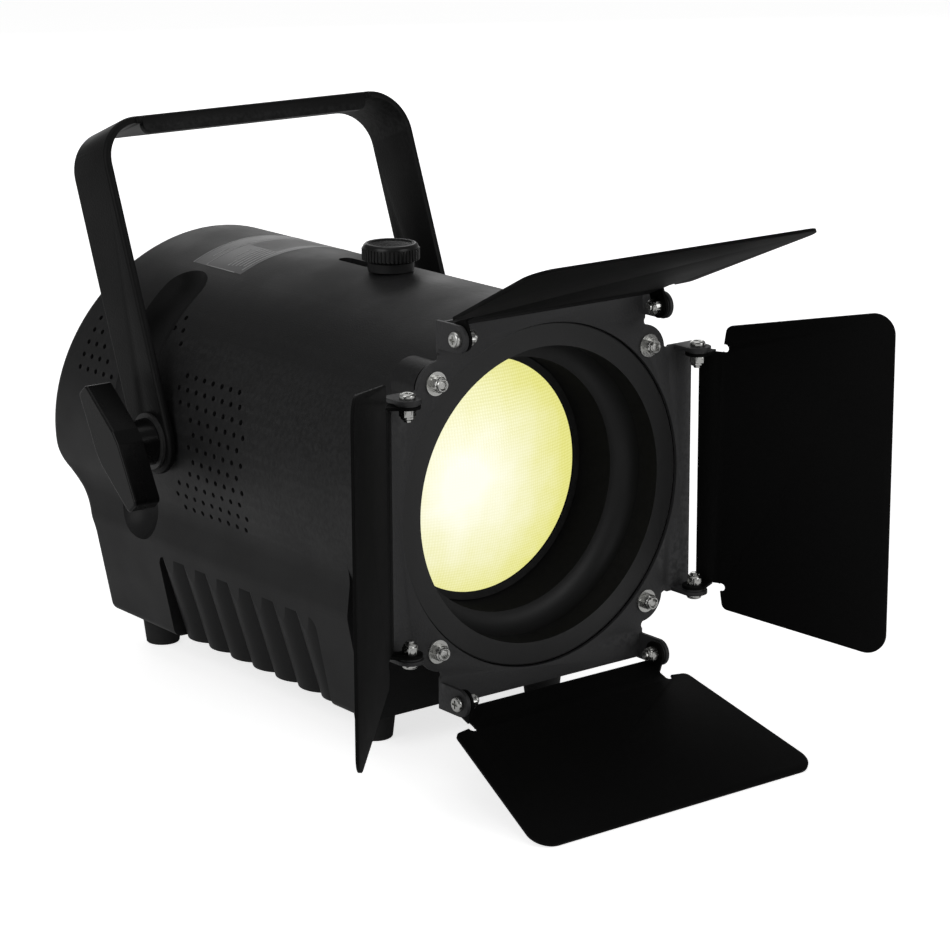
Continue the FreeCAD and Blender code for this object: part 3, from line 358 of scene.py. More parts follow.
def material(name):
    """Each finish is made once, from the settings."""
    if name in MATERIALS:
        return MATERIALS[name]
    f = settings("finish")
    recipes = {
        "mould": lambda: finish("mould_black", f.mould_colour, 0.46, f.grain_size, f.grain_depth,
                                spread=0.12, specular=0.22),
        "plate": lambda: finish("plate_powder", f.plate_colour, 0.50, 0.0009, 0.00013, spread=0.08, wear=0.4,
                                specular=0.3),
        "leaf": lambda: finish("leaf_powder", f.leaf_colour, 0.62, 0.0006, 0.00005, spread=0.08,
                               dust=0.01, wear=0.1, specular=0.09, sheen=0.03),
        "yoke": lambda: finish("yoke_powder", f.yoke_colour, 0.48, 0.0008, 0.00008, wear=0.3, specular=0.15),
        "gloss": lambda: finish("gloss_black", f.gloss_colour, 0.27, 0.0008, 0.00002, wear=0.3, dust=0.03,
                                specular=0.2),
        "knob": lambda: finish("knob_black", f.gloss_colour, 0.28, 0.0008, 0.00002, wear=0.3, dust=0.02,
                               specular=0.35),
        "turned": lambda: finish("turned_ring", (0.009, 0.009, 0.0092), 0.40, 0.0009, 0.00003,
                                 stretch=(1, 1, 0.05), spread=0.14),
        "tube": lambda: finish("tube_black", (0.016, 0.016, 0.016), 0.50, 0.0016, 0.00003,
                               dust=0.0, specular=0.35),
        "nylon": lambda: finish("nylon_black", (0.02, 0.02, 0.02), 0.42, 0.0008, 0.00002),
        "zinc": lambda: finish("zinc_plate", f.zinc_colour, 0.24, 0.0012, 0.00002, metallic=1.0, wear=0.0,
                               dust=0.0, spread=0.2),
        "steel": lambda: finish("plain_steel", (0.45, 0.45, 0.45), 0.28, 0.0006, 0.00001, metallic=1.0,
                                stretch=(1, 0.1, 1), wear=0.0, dust=0.0),
        "black_screw": lambda: finish("black_oxide", (0.03, 0.03, 0.03), 0.35, 0.0006, 0.00002,
                                      metallic=0.6),
        "brass": lambda: finish("brass", (0.55, 0.40, 0.16), 0.3, 0.0006, 0.00002, metallic=1.0, wear=0.0),
        "aluminium": lambda: finish("plain_aluminium", (0.55, 0.55, 0.56), 0.34, 0.0007, 0.00002,
                                    metallic=1.0, wear=0.0, dust=0.0),
        "circuit": lambda: finish("circuit_green", (0.02, 0.10, 0.045), 0.35, 0.0009, 0.00003, wear=0.0),
        "led_board": lambda: finish("board_white", (0.8, 0.8, 0.78), 0.4, 0.0009, 0.00001, wear=0.0),
        "phosphor": lambda: finish("phosphor", (0.9, 0.72, 0.10), 0.5, 0.0009, 0.00001, wear=0.0),
        "glass_black": lambda: finish("display_gloss", (0.008, 0.012, 0.02), 0.07, 0.01, 0.000002, wear=0.0,
                                      dust=0.02, coat=1.0),
        "key": lambda: finish("key_grey", (0.09, 0.09, 0.09), 0.5, 0.0006, 0.00002),
        "rubber": lambda: finish("foot_rubber", (0.02, 0.02, 0.02), 0.72, 0.0008, 0.00005, specular=0.3),
        "mottled": lambda: finish("label_mottled", (0.11, 0.11, 0.11), 0.5, 0.0011, 0.00001,
                                  wear=0.0, dust=0.0),
        "print": lambda: finish("label_grey", (0.30, 0.30, 0.30), 0.5, 0.0006, 0.00001, wear=0.0, dust=0.0),
        "label": lambda: finish("label_black", (0.018, 0.018, 0.019), 0.33, 0.0012, 0.00001, wear=0.0),
        "lens": lens_material,
    }
    MATERIALS[name] = recipes[name]()
    return MATERIALS[name]


def dress(node, name):
    """Give a CAD node its finish."""
    mesh = NODES[node].data
    mesh.materials.clear()
    mesh.materials.append(material(name))


# --- mesh helpers -------------------------------------------------------------
def link(name, mesh, body, finish_name=None, crease=35):
    piece = bpy.data.objects.new(name, mesh)
    bpy.context.scene.collection.objects.link(piece)
    if finish_name:
        mesh.materials.clear()
        mesh.materials.append(material(finish_name))
    mesh.shade_smooth()
    mesh.set_sharp_from_angle(angle=math.radians(crease))
    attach(piece, body)
    return piece


def evaluated_mesh(piece):
    """The piece's mesh with its modifiers applied, as a plain mesh."""
    graph = bpy.context.evaluated_depsgraph_get()
    graph.update()
    return bpy.data.meshes.new_from_object(piece.evaluated_get(graph), preserve_all_data_layers=True,
                                           depsgraph=graph)


def merged_copy(node):
    shape = bmesh.new()
    shape.from_mesh(NODES[node].data)
    bmesh.ops.remove_doubles(shape, verts=shape.verts, dist=2e-6)
    return shape


def crisp(node, finish_name, radius, crease=30, segments=2, ends=()):
    """Replace a CAD node by a copy with rolled edges; ends are (axis, place, shift) of faces to move."""
    shape = merged_copy(node)
    for axis, place, shift in ends:
        for vertex in shape.verts:
            if abs(vertex.co[axis] - place) < 0.0002:
                vertex.co[axis] += shift
    bmesh.ops.dissolve_limit(shape, angle_limit=math.radians(0.4), verts=shape.verts, edges=shape.edges)
    mesh = bpy.data.meshes.new(node + "_finished")
    shape.to_mesh(mesh)
    shape.free()
    stock = bpy.data.objects.new("stock", mesh)
    bpy.context.scene.collection.objects.link(stock)
    roll = stock.modifiers.new("Rolled edges", "BEVEL")
    roll.width = radius
    roll.segments = segments
    roll.limit_method = "ANGLE"
    roll.angle_limit = math.radians(crease)
    roll.use_clamp_overlap = True
    final = evaluated_mesh(stock)
    bpy.data.objects.remove(stock)
    final.name = node + "_finished"
    piece = link(node + "_finished", final, NODES[node]["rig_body"], finish_name)
    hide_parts(node)
    return piece


def islands(node):
    """(lowest, highest) corner of each separate solid in a CAD node."""
    shape = merged_copy(node)
    shape.verts.ensure_lookup_table()
    seen, found = set(), []
    for first in shape.verts:
        if first.index in seen:
            continue
        stack, points = [first], []
        seen.add(first.index)
        while stack:
            here = stack.pop()
            points.append(here.co.copy())
            for edge in here.link_edges:
                other = edge.other_vert(here)
                if other.index not in seen:
                    seen.add(other.index)
                    stack.append(other)
        low = Vector([min(p[i] for p in points) for i in range(3)])
        high = Vector([max(p[i] for p in points) for i in range(3)])
        found.append((low, high))
    shape.free()
    return found


def lathe(profile, steps):
    """Surface turned about +Z from (radius, height) points."""
    shape = bmesh.new()
    rings = []
    for radius, height in profile:
        rings.append([shape.verts.new((radius * math.cos(2 * math.pi * i / steps),
                                       radius * math.sin(2 * math.pi * i / steps), height))
                      for i in range(steps)])
    for low, high in zip(rings, rings[1:]):
        for i in range(steps):
            j = (i + 1) % steps
            shape.faces.new((low[i], low[j], high[j], high[i]))
    return shape


# --- geometry-node trees ------------------------------------------------------
def new_tree(name, inputs):
    tree = bpy.data.node_groups.new(name, "GeometryNodeTree")
    tree.interface.new_socket("Geometry", in_out="INPUT", socket_type="NodeSocketGeometry")
    for label, kind, default in inputs:
        socket = tree.interface.new_socket(label, in_out="INPUT", socket_type=kind)
        if default is not None:
            socket.default_value = default
    tree.interface.new_socket("Geometry", in_out="OUTPUT", socket_type="NodeSocketGeometry")
    return tree, tree.nodes.new("NodeGroupInput"), tree.nodes.new("NodeGroupOutput")


def close_tree(tree, start, end, instances):
    """Realise the instances and give them the finish."""
    real = add(tree, "GeometryNodeRealizeInstances")
    paint = add(tree, "GeometryNodeSetMaterial")
    tree.links.new(instances, real.inputs[0])
    tree.links.new(real.outputs[0], paint.inputs["Geometry"])
    tree.links.new(start.outputs["Material"], paint.inputs["Material"])
    tree.links.new(paint.outputs[0], end.inputs[0])


def fastener_tree():
    """Puts a fastener at every point, aimed along the point's aim and spun by a seeded amount."""
    tree, start, end = new_tree("Place Fasteners", [
        ("Fastener", "NodeSocketObject", None), ("Size", "NodeSocketFloat", 1.0),
        ("Most Spin", "NodeSocketFloat", 6.2832), ("Seed", "NodeSocketInt", 7),
        ("Material", "NodeSocketMaterial", None)])
    info = add(tree, "GeometryNodeObjectInfo")
    tree.links.new(start.outputs["Fastener"], info.inputs["Object"])
    aim = add(tree, "GeometryNodeInputNamedAttribute", data_type="FLOAT_VECTOR")
    aim.inputs["Name"].default_value = "aim"
    align = add(tree, "FunctionNodeAlignRotationToVector", axis="Z")
    tree.links.new(aim.outputs["Attribute"], align.inputs["Vector"])
    spin = add(tree, "FunctionNodeRandomValue", data_type="FLOAT")
    tree.links.new(start.outputs["Most Spin"], spin.inputs[3])
    tree.links.new(start.outputs["Seed"], spin.inputs["Seed"])
    turn = add(tree, "FunctionNodeAxisAngleToRotation")
    turn.inputs["Axis"].default_value = (0, 0, 1)
    tree.links.new(spin.outputs[1], turn.inputs["Angle"])
    both = add(tree, "FunctionNodeRotateRotation", rotation_space="LOCAL")
    tree.links.new(align.outputs[0], both.inputs[0])
    tree.links.new(turn.outputs[0], both.inputs[1])
    place = add(tree, "GeometryNodeInstanceOnPoints")
    tree.links.new(start.outputs["Geometry"], place.inputs["Points"])
    tree.links.new(info.outputs["Geometry"], place.inputs["Instance"])
    tree.links.new(both.outputs[0], place.inputs["Rotation"])
    size = add(tree, "ShaderNodeCombineXYZ")
    for socket in size.inputs:
        tree.links.new(start.outputs["Size"], socket)
    tree.links.new(size.outputs[0], place.inputs["Scale"])
    close_tree(tree, start, end, place.outputs[0])
    return tree


def knurl_tree():
    """Ridges stood round a circle."""
    tree, start, end = new_tree("Knurled Rim", [
        ("Ridges", "NodeSocketInt", 44), ("Radius", "NodeSocketFloat", 0.011),
        ("Height", "NodeSocketFloat", 0.005), ("Ridge Radius", "NodeSocketFloat", 0.0005),
        ("Material", "NodeSocketMaterial", None)])
    circle = add(tree, "GeometryNodeMeshCircle")
    ridge = add(tree, "GeometryNodeMeshCylinder")
    ridge.inputs["Vertices"].default_value = 10
    tree.links.new(start.outputs["Ridges"], circle.inputs["Vertices"])
    tree.links.new(start.outputs["Radius"], circle.inputs["Radius"])
    tree.links.new(start.outputs["Ridge Radius"], ridge.inputs["Radius"])
    tree.links.new(start.outputs["Height"], ridge.inputs["Depth"])
    place = add(tree, "GeometryNodeInstanceOnPoints")
    tree.links.new(circle.outputs[0], place.inputs["Points"])
    tree.links.new(ridge.outputs["Mesh"], place.inputs["Instance"])
    join = add(tree, "GeometryNodeJoinGeometry")
    tree.links.new(place.outputs[0], join.inputs[0])
    tree.links.new(start.outputs["Geometry"], join.inputs[0])
    close_tree(tree, start, end, join.outputs[0])
    return tree


def fin_tree():
    """A row of thin fins across a heat sink."""
    tree, start, end = new_tree("Cooling Fins", [
        ("Fins", "NodeSocketInt", 13), ("Width", "NodeSocketFloat", 0.076),
        ("Fin Size", "NodeSocketVector", (0.0016, 0.031, 0.076)),
        ("First", "NodeSocketVector", (0, 0, 0)), ("Material", "NodeSocketMaterial", None)])
    line = add(tree, "GeometryNodeMeshLine", mode="END_POINTS")
    offset = add(tree, "ShaderNodeCombineXYZ")
    tree.links.new(start.outputs["Width"], offset.inputs["X"])
    last = add(tree, "ShaderNodeVectorMath", operation="ADD")
    tree.links.new(start.outputs["First"], last.inputs[0])
    tree.links.new(offset.outputs[0], last.inputs[1])
    tree.links.new(start.outputs["Fins"], line.inputs["Count"])
    tree.links.new(start.outputs["First"], line.inputs["Start Location"])
    tree.links.new(last.outputs[0], line.inputs["Offset"])
    fin = add(tree, "GeometryNodeMeshCube")
    tree.links.new(start.outputs["Fin Size"], fin.inputs["Size"])
    place = add(tree, "GeometryNodeInstanceOnPoints")
    tree.links.new(line.outputs[0], place.inputs["Points"])
    tree.links.new(fin.outputs["Mesh"], place.inputs["Instance"])
    join = add(tree, "GeometryNodeJoinGeometry")
    tree.links.new(place.outputs[0], join.inputs[0])
    tree.links.new(start.outputs["Geometry"], join.inputs[0])
    close_tree(tree, start, end, join.outputs[0])
    return tree


def grow(name, host_mesh, tree, values):
    """Run a geometry-node tree on a mesh and return the plain result."""
    host = bpy.data.objects.new(name, host_mesh)
    bpy.context.scene.collection.objects.link(host)
    modifier = host.modifiers.new("Grow", "NODES")
    modifier.node_group = tree
    ids = {s.name: s.identifier for s in tree.interface.items_tree if s.in_out == "INPUT"}
    for label, value in values.items():
        modifier[ids[label]] = value
    mesh = evaluated_mesh(host)
    host.modifiers.remove(modifier)
    bpy.data.objects.remove(host)
    if not len(mesh.polygons):
        raise RuntimeError(name + " grew no faces")
    return mesh


def aimed_points(places):
    mesh = bpy.data.meshes.new("places")
    mesh.from_pydata([place for place, _ in places], [], [])
    aim = mesh.attributes.new("aim", "FLOAT_VECTOR", "POINT")
    for i, (_, direction) in enumerate(places):
        aim.data[i].vector = direction
    return mesh


# --- operators ----------------------------------------------------------------
class SpotlightOperator:
    bl_options = {"REGISTER", "UNDO"}

    def execute(self, context):
        self.make()
        return {"FINISHED"}


class SPOT_OT_stage(SpotlightOperator, bpy.types.Operator):
    """Camera, wide pale floor and soft studio lights"""
    bl_idname = "spotlight.stage"
    bl_label = "Stage"

    def make(self):
        studio = settings("studio")
        scene = bpy.context.scene
        data = bpy.data.cameras.new("camera")
        data.lens = studio.lens
        data.sensor_width = 36.0
        data.clip_start, data.clip_end = 0.01, 60.0
        camera = bpy.data.objects.new("camera", data)
        scene.collection.objects.link(camera)
        place = Vector((-0.7036, -0.8656, 0.3046))
        back = (place - Vector((-0.0330, -0.0013, 0.0137))).normalized()
        right = Vector((0, 0, 1)).cross(back).normalized()
        up = back.cross(right)
        roll = math.radians(-0.2644)
        right, up = (math.cos(roll) * right + math.sin(roll) * up,
                     math.cos(roll) * up - math.sin(roll) * right)
        camera.matrix_world = Matrix.Translation(place) @ Matrix((right, up, back)).transposed().to_4x4()
        scene.camera = camera

        floor_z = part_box("rubber_feet")[0].z
        rings = 48
        points = [Vector((14 * math.cos(2 * math.pi * i / rings), 14 * math.sin(2 * math.pi * i / rings),
                          floor_z - 0.00005)) for i in range(rings)]
        mesh = bpy.data.meshes.new("floor")
        mesh.from_pydata(points, [], [list(range(rings))])
        mesh.shade_smooth()
        floor = bpy.data.objects.new("floor", mesh)
        scene.collection.objects.link(floor)
        paper = bpy.data.materials.new("pale_floor")
        paper.use_nodes = True
        tree = paper.node_tree
        shader = tree.nodes["Principled BSDF"]
        spot = add(tree, "ShaderNodeTexCoord")
        fibres = add(tree, "ShaderNodeTexNoise")
        fibres.inputs["Scale"].default_value = 30.0
        tree.links.new(spot.outputs["Object"], fibres.inputs["Vector"])
        tone = add(tree, "ShaderNodeMix", data_type="RGBA")
        tone.inputs["A"].default_value = (*studio.floor_colour, 1)
        tone.inputs["B"].default_value = (*[min(1, c * 1.01) for c in studio.floor_colour], 1)
        tree.links.new(fibres.outputs[0], tone.inputs[0])
        tree.links.new(tone.outputs["Result"], shader.inputs["Base Color"])
        shader.inputs["Roughness"].default_value = 0.8
        shader.inputs["Specular IOR Level"].default_value = 0.1
        tree.links.new(tone.outputs["Result"], shader.inputs["Emission Color"])
        tree.links.new(seen_directly(tree, studio.floor_glow, studio.floor_bounce),
                       shader.inputs["Emission Strength"])
        mesh.materials.append(paper)

        def softbox(name, location, target, width, height, power):
            light = bpy.data.lights.new(name, "AREA")
            light.shape = "RECTANGLE"
            light.size, light.size_y, light.energy = width, height, power
            lamp = bpy.data.objects.new(name, light)
            lamp.location = location
            lamp.visible_camera = False
            lamp.rotation_mode = "QUATERNION"
            lamp.rotation_quaternion = (Vector(target) - Vector(location)).to_track_quat("-Z", "Y")
            scene.collection.objects.link(lamp)

        softbox("key", (-1.7, -0.3, 1.0), (0, 0.1, 0), 1.2, 1.2, studio.key)
        softbox("top", (0.0, 0.3, 1.9), (0, 0.1, 0), 1.6, 1.6, studio.top)
        softbox("side", (0.7, -1.9, 0.8), (0, 0.0, 0), 1.2, 1.0, studio.side)
        softbox("rear", (1.0, 1.9, 0.7), (0, 0.1, 0), 1.4, 1.2, studio.rear)
        world = bpy.data.worlds.new("studio")
        world.use_nodes = True
        background = world.node_tree.nodes["Background"]
        background.inputs["Color"].default_value = (1, 1, 1, 1)
        brightness = seen_directly(world.node_tree, 1.0, studio.ambient)
        world.node_tree.links.new(brightness, background.inputs["Strength"])
        scene.world = world
        scene.view_settings.view_transform = "Standard"


class SPOT_OT_housing(SpotlightOperator, bpy.types.Operator):
    """Textured drum and base, with a blank framed label on top"""
    bl_idname = "spotlight.housing"
    bl_label = "Housing"

    def make(self):
        dress("main_housing", "mould")
        crisp("rear_panel", "mould", 0.0002)
        radius = 0.0718
        self.strip("label_band", "label", "body_moulding", radius + 0.00004, 70.0, 115.6, 0.155, 0.1905)
        lines = [(70.0, 115.6, 0.1805, 0.1811), (70.0, 115.6, 0.1896, 0.1901), (115.2, 115.6, 0.160, 0.1811),
                 (70.0, 113.6, 0.1573, 0.1578)]
        for i in range(5):
            lines.append((99.0, 111.5 + 0.4 * i, 0.1595 + 0.0022 * i, 0.1602 + 0.0022 * i))
        lines += [(101.5, 108.0, 0.1722, 0.1729), (104.0, 110.5, 0.1838, 0.1845)]
        self.strips("label_rules", "print", "body_moulding", radius + 0.00008, lines)
        self.strip("label_panel", "mottled", "body_moulding", radius + 0.00007, 78.0, 98.0, 0.160, 0.1785)

    @staticmethod
    def strip(name, finish_name, slot, radius, start, stop, front, rear):
        SPOT_OT_housing.strips(name, finish_name, slot, radius, [(start, stop, front, rear)])

    @staticmethod
    def strips(name, finish_name, slot, radius, patches):
        """Thin printed patches that follow the drum."""
        shape = bmesh.new()
        for start, stop, front, rear in patches:
            steps = max(2, int((stop - start) / 1.5))
            rings = []
            for i in range(steps + 1):
                a = math.radians(start + (stop - start) * i / steps)
                rings.append([shape.verts.new((r * math.cos(a), y, r * math.sin(a)))
                              for r in (radius - 0.00006, radius) for y in (front, rear)])
            for low, high in zip(rings, rings[1:]):
                shape.faces.new((low[2], low[3], high[3], high[2]))
                shape.faces.new((low[1], low[0], high[0], high[1]))
                shape.faces.new((low[0], low[2], high[2], high[0]))
                shape.faces.new((low[3], low[1], high[1], high[3]))
            shape.faces.new((rings[0][0], rings[0][1], rings[0][3], rings[0][2]))
            shape.faces.new((rings[-1][1], rings[-1][0], rings[-1][2], rings[-1][3]))
        bmesh.ops.recalc_face_normals(shape, faces=shape.faces)
        mesh = bpy.data.meshes.new(name)
        shape.to_mesh(mesh)
        shape.free()
        link(name, mesh, "lamp_body", finish_name, 30)


class SPOT_OT_front(SpotlightOperator, bpy.types.Operator):
    """Bezel ring, light tube and the square door plate"""
    bl_idname = "spotlight.front"
    bl_label = "Front"

    def make(self):
        dress("front_bezel", "turned")
        self.light_tube()
        crisp("barndoor_plate", "plate", 0.00025)

    @staticmethod
    def light_tube():
        """Rounded step behind the bezel and the plain tube behind it."""
        low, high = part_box("light_tube")
        outer, bore, mouth, wall = high.x, 0.0497, 0.0579, 0.002
        bend = mouth - bore
        turn = [math.radians(90 * i / 16) for i in range(17)]
        profile = [(outer, 0), (mouth, 0)]
        profile += [(mouth - bend * (1 - math.cos(a)), 0.0005 + bend * math.sin(a)) for a in turn]
        length = high.y - low.y
        profile += [(bore, length), (bore + wall, length), (bore + wall, 0.0123), (outer, 0.0083),
                    (outer, 0)]
        shape = lathe(profile, 144)
        bmesh.ops.remove_doubles(shape, verts=shape.verts, dist=1e-6)
        onto_axis = Matrix.Translation((0, low.y, 0)) @ Matrix.Rotation(-math.pi / 2, 4, "X")
        bmesh.ops.transform(shape, matrix=onto_axis, verts=shape.verts)
        bmesh.ops.recalc_face_normals(shape, faces=shape.faces)
        mesh = bpy.data.meshes.new("light_tube_finished")
        shape.to_mesh(mesh)
        shape.free()
        piece = link("light_tube_finished", mesh, "lamp_body", "tube", 30)
        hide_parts("light_tube")


class SPOT_OT_leaves(SpotlightOperator, bpy.types.Operator):
    """The four shading leaves"""
    bl_idname = "spotlight.leaves"
    bl_label = "Door leaves"

    def make(self):
        for side in ("top", "bottom", "left", "right"):
            crisp(side + "_door", "leaf", 0.00022)


class SPOT_OT_optics(SpotlightOperator, bpy.types.Operator):
    """Lit lens, its sliding carriage and the LED"""
    bl_idname = "spotlight.optics"
    bl_label = "Optics"

    def make(self):
        dress("lens", "lens")
        dress("lens_carriage", "tube")
        for node, name in (("lens_retainer", "zinc"), ("slot_cover", "tube"), ("focus_stud", "steel"),
                           ("guide_rails", "steel"), ("led_board", "led_board"),
                           ("led_emitter", "phosphor")):
            dress(node, name)


class SPOT_OT_yoke(SpotlightOperator, bpy.types.Operator):
    """Bent strap yoke and its washers"""
    bl_idname = "spotlight.yoke"
    bl_label = "Yoke"

    def make(self):
        crisp("yoke", "yoke", 0.00035)
        for side in ("left", "right"):
            dress(side + "_knob_washer", "nylon")
            dress(side + "_pivot_washer", "nylon")
            dress(side + "_pivot_insert", "brass")
            dress(side + "_knob_stud", "steel")


class SPOT_OT_knobs(SpotlightOperator, bpy.types.Operator):
    """Wing knobs and the knurled focus knob"""
    bl_idname = "spotlight.knobs"
    bl_label = "Knobs"

    def make(self):
        for side in ("left", "right"):
            dress(side + "_wing_knob", "gloss")
        dress("knob_collar", "mould")
        hardware = settings("hardware")
        low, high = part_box("focus_knob")
        centre = (low + high) / 2
        height = high.z - low.z
        core = (high.x - low.x) / 2 - hardware.ridge_radius
        dish, foot = 0.0012, 0.00205
        profile = [(foot, 0), (core - 0.0008, 0), (core, 0.0008), (core, height - 0.0014),
                   (core - 0.0003, height - 0.0007), (core - 0.0010, height - 0.0001),
                   (core - 0.0016, height), (core - 0.0022, height - 0.0001),
                   (core - 0.0026, height - 0.0007), (dish, height - 0.0010)]
        shape = lathe(profile, 96)
        for radius in (dish, foot):
            rim = [v for v in shape.verts if abs(v.co.xy.length - radius) < 1e-6]
            bmesh.ops.contextual_create(shape, geom=rim)
        bmesh.ops.recalc_face_normals(shape, faces=shape.faces)
        mesh = bpy.data.meshes.new("knob_core")
        shape.to_mesh(mesh)
        shape.free()
        mesh.materials.append(material("knob"))
        mesh.transform(Matrix.Translation((0, 0, -0.0004 - (height - 0.0022) / 2)))
        ridges = grow("focus_knob_knurl", mesh, knurl_tree(), {
            "Ridges": hardware.ridges, "Radius": core, "Height": height - 0.0024,
            "Ridge Radius": hardware.ridge_radius, "Material": material("knob")})
        ridges.transform(Matrix.Translation((centre.x, centre.y, low.z + 0.0004 + (height - 0.0022) / 2)))
        piece = link("focus_knob_finished", ridges, "focus_knob", "knob", 30)
        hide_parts("focus_knob")


class SPOT_OT_fasteners(SpotlightOperator, bpy.types.Operator):
    """Lock nuts, screws, studs and washers"""
    bl_idname = "spotlight.fasteners"
    bl_label = "Fasteners"

    def make(self):
        hardware = settings("hardware")
        nut = self.lock_nut(hardware.across_flats, hardware.nut_height, hardware.thread)
        tree = fastener_tree()
        places = []
        for low, high in islands("corner_nuts"):
            centre = (low + high) / 2
            places.append((Vector((centre.x, high.y, centre.z)), Vector((0, -1, 0))))
        for low, high in islands("hinge_nuts"):
            centre = (low + high) / 2
            size = high - low
            axis = 0 if size.x < size.z else 2
            seat = centre.copy()
            outward = 1 if centre[axis] > 0 else -1
            seat[axis] = high[axis] if outward > 0 else low[axis]
            aim = Vector((0, 0, 0))
            aim[axis] = -outward
            places.append((seat, aim))
        nuts = grow("lock_nuts", aimed_points(places), tree, {
            "Fastener": nut, "Size": 1.0, "Most Spin": 6.2832, "Seed": 7, "Material": material("zinc")})
        bpy.data.objects.remove(nut)
        piece = link("lock_nuts", nuts, "lamp_body", "zinc", 28)
        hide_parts("corner_nuts", "hinge_nuts")
        tip = min(abs(corner.x) for low_high in islands("hinge_screws") for corner in low_high)
        crisp("hinge_screws", "zinc", 0.00008, ends=[(axis, side * tip, side * 0.0022)
                                                     for axis in (0, 2) for side in (-1, 1)])
        crisp("panel_screws", "black_screw", 0.00008)
        dress("foot_screws", "black_screw")
        crisp("corner_studs", "zinc", 0.0002, ends=[(1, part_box("corner_studs")[0].y, 0.0013)])
        dress("corner_washers", "zinc")
        dress("corner_spacers", "nylon")
        dress("hinge_washers", "nylon")

    @staticmethod
    def lock_nut(flats, height, thread):
        """Hexagon with chamfered corners, a turned collar and the thread end inside."""
        steps = 48
        hexagon = bmesh.new()
        levels = [(0.0, 0.0002), (0.00025, 0.0), (0.68 * height, 0.0), (0.75 * height, 0.00035)]
        rings = []
        for z, inset in levels:
            ring = []
            for i in range(steps):
                a = 2 * math.pi * i / steps
                flat = (a + math.pi / 6) % (math.pi / 3) - math.pi / 6
                radius = min(flats / 2 / math.cos(flat), flats / 2 * 1.13 - inset * 1.4)
                ring.append(hexagon.verts.new((radius * math.cos(a), radius * math.sin(a), z)))
            rings.append(ring)
        collar = flats * 0.46
        inner = thread / 2 + 0.00002
        for radius, z in ((collar, 0.75 * height), (collar, 0.90 * height), (collar - 0.0003, height),
                          (inner + 0.0004, height), (inner + 0.0001, 0.93 * height), (inner, 0.90 * height),
                          (inner, 0.0)):
            rings.append([hexagon.verts.new((radius * math.cos(2 * math.pi * i / steps),
                                             radius * math.sin(2 * math.pi * i / steps), z))
                          for i in range(steps)])
        rings.append(rings[0])
        for low, high in zip(rings, rings[1:]):
            for i in range(steps):
                j = (i + 1) % steps
                hexagon.faces.new((low[i], low[j], high[j], high[i]))
        bmesh.ops.recalc_face_normals(hexagon, faces=hexagon.faces)
        mesh = bpy.data.meshes.new("lock_nut")
        hexagon.to_mesh(mesh)
        hexagon.free()
        nut = bpy.data.objects.new("lock_nut", mesh)
        bpy.context.scene.collection.objects.link(nut)
        return nut


class SPOT_OT_rear(SpotlightOperator, bpy.types.Operator):
    """Display, menu keys, sockets and power inlet"""
    bl_idname = "spotlight.rear"
    bl_label = "Rear fittings"

    def make(self):
        crisp("display_window", "glass_black", 0.0003)
        for number in range(1, 5):
            dress("menu_button_%d" % number, "key")
        for node in ("data_socket_in", "data_socket_out", "power_inlet"):
            crisp(node, "nylon", 0.00025)


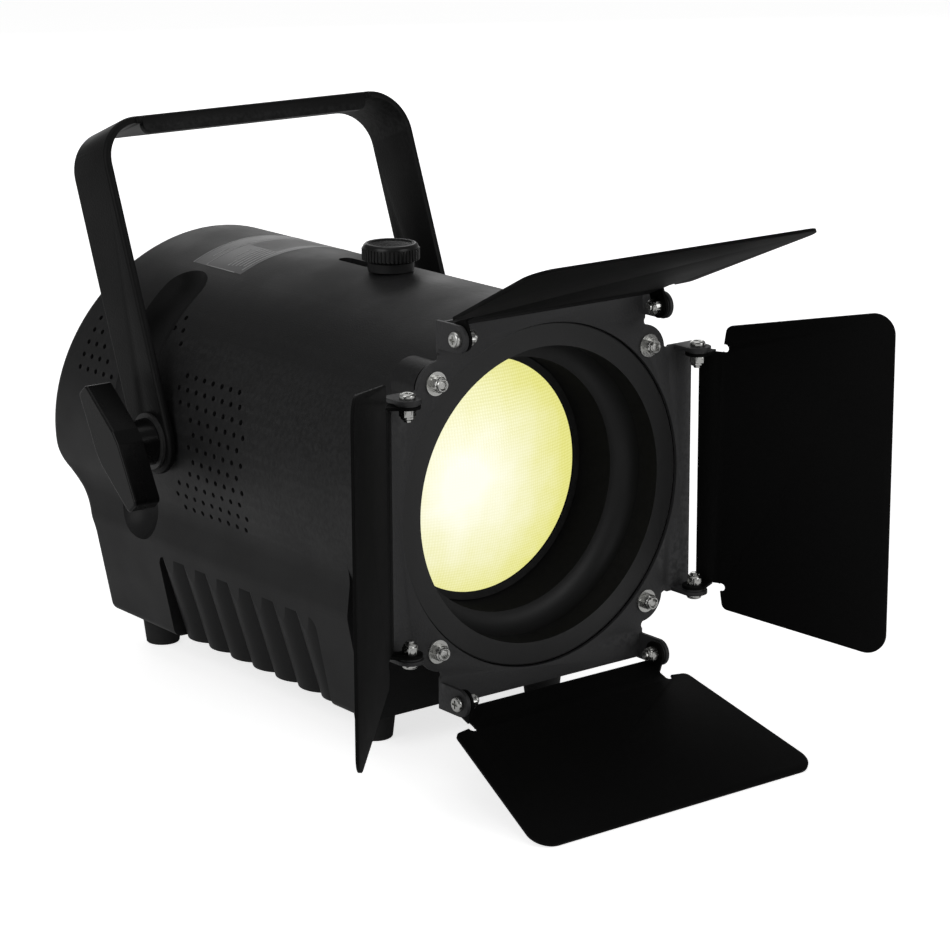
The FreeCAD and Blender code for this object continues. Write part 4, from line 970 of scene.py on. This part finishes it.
class SPOT_OT_inside(SpotlightOperator, bpy.types.Operator):
    """Heat sink, fan and boards"""
    bl_idname = "spotlight.inside"
    bl_label = "Inside"

    def make(self):
        hardware = settings("hardware")
        low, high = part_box("heat_sink")
        fin = 0.0016
        pad = bmesh.new()
        depth = high.y - low.y
        for size, y in (((0.054, 0.0019, 0.054), low.y + 0.00095),
                        ((high.x - low.x, 0.0054, high.z - low.z), low.y + 0.0016 + 0.0027)):
            made = bmesh.ops.create_cube(pad, size=1.0)["verts"]
            bmesh.ops.scale(pad, vec=size, verts=made)
            bmesh.ops.translate(pad, vec=(0, y, (low.z + high.z) / 2), verts=made)
        mesh = bpy.data.meshes.new("heat_sink_base")
        pad.to_mesh(mesh)
        pad.free()
        mesh.materials.append(material("aluminium"))
        fins = grow("heat_sink_fins", mesh, fin_tree(), {
            "Fins": hardware.fins, "Width": high.x - low.x - fin,
            "Fin Size": (fin, depth - 0.0072, high.z - low.z),
            "First": (low.x + fin / 2, (low.y + 0.0072 + high.y) / 2, (low.z + high.z) / 2),
            "Material": material("aluminium")})
        piece = link("heat_sink_finished", fins, "lamp_body", "aluminium", 30)
        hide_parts("heat_sink")
        dress("stay_plate", "aluminium")
        dress("fan_frame", "nylon")
        dress("fan_rotor", "nylon")
        for node in ("power_supply", "control_board"):
            dress(node, "circuit")


class SPOT_OT_feet(SpotlightOperator, bpy.types.Operator):
    """Four rubber feet"""
    bl_idname = "spotlight.feet"
    bl_label = "Feet"

    def make(self):
        dress("rubber_feet", "rubber")


STEPS = (SPOT_OT_stage, SPOT_OT_housing, SPOT_OT_front, SPOT_OT_leaves, SPOT_OT_optics, SPOT_OT_yoke,
         SPOT_OT_knobs, SPOT_OT_fasteners, SPOT_OT_rear, SPOT_OT_inside, SPOT_OT_feet)


class SPOT_PT_sidebar(bpy.types.Panel):
    """Lists the steps and the values behind them"""
    bl_idname = "SPOT_PT_sidebar"
    bl_label = "Fresnel Spotlight"
    bl_space_type = "VIEW_3D"
    bl_region_type = "UI"
    bl_category = "Spotlight"

    def draw(self, context):
        for step in STEPS:
            self.layout.operator(step.bl_idname)
        for name in SETTINGS:
            box = self.layout.box()
            values = settings(name)
            for key in values.__annotations__:
                box.prop(values, key)


SETTINGS = {"finish": FinishSettings, "glow": GlowSettings, "hardware": HardwareSettings,
            "studio": StudioSettings}


def register():
    for name, kind in SETTINGS.items():
        bpy.utils.register_class(kind)
        setattr(bpy.types.Scene, "spotlight_" + name, PointerProperty(type=kind))
    for kind in STEPS + (SPOT_PT_sidebar,):
        bpy.utils.register_class(kind)


def unregister():
    for kind in (SPOT_PT_sidebar,) + STEPS[::-1]:
        bpy.utils.unregister_class(kind)
    for name, kind in SETTINGS.items():
        delattr(bpy.types.Scene, "spotlight_" + name)
        bpy.utils.unregister_class(kind)


def main():
    register()
    for step in STEPS:
        name = step.bl_idname.split(".")[1]
        if getattr(bpy.ops.spotlight, name)() != {"FINISHED"}:
            raise RuntimeError(name + " did not finish")


if __name__ == "__main__":
    main()
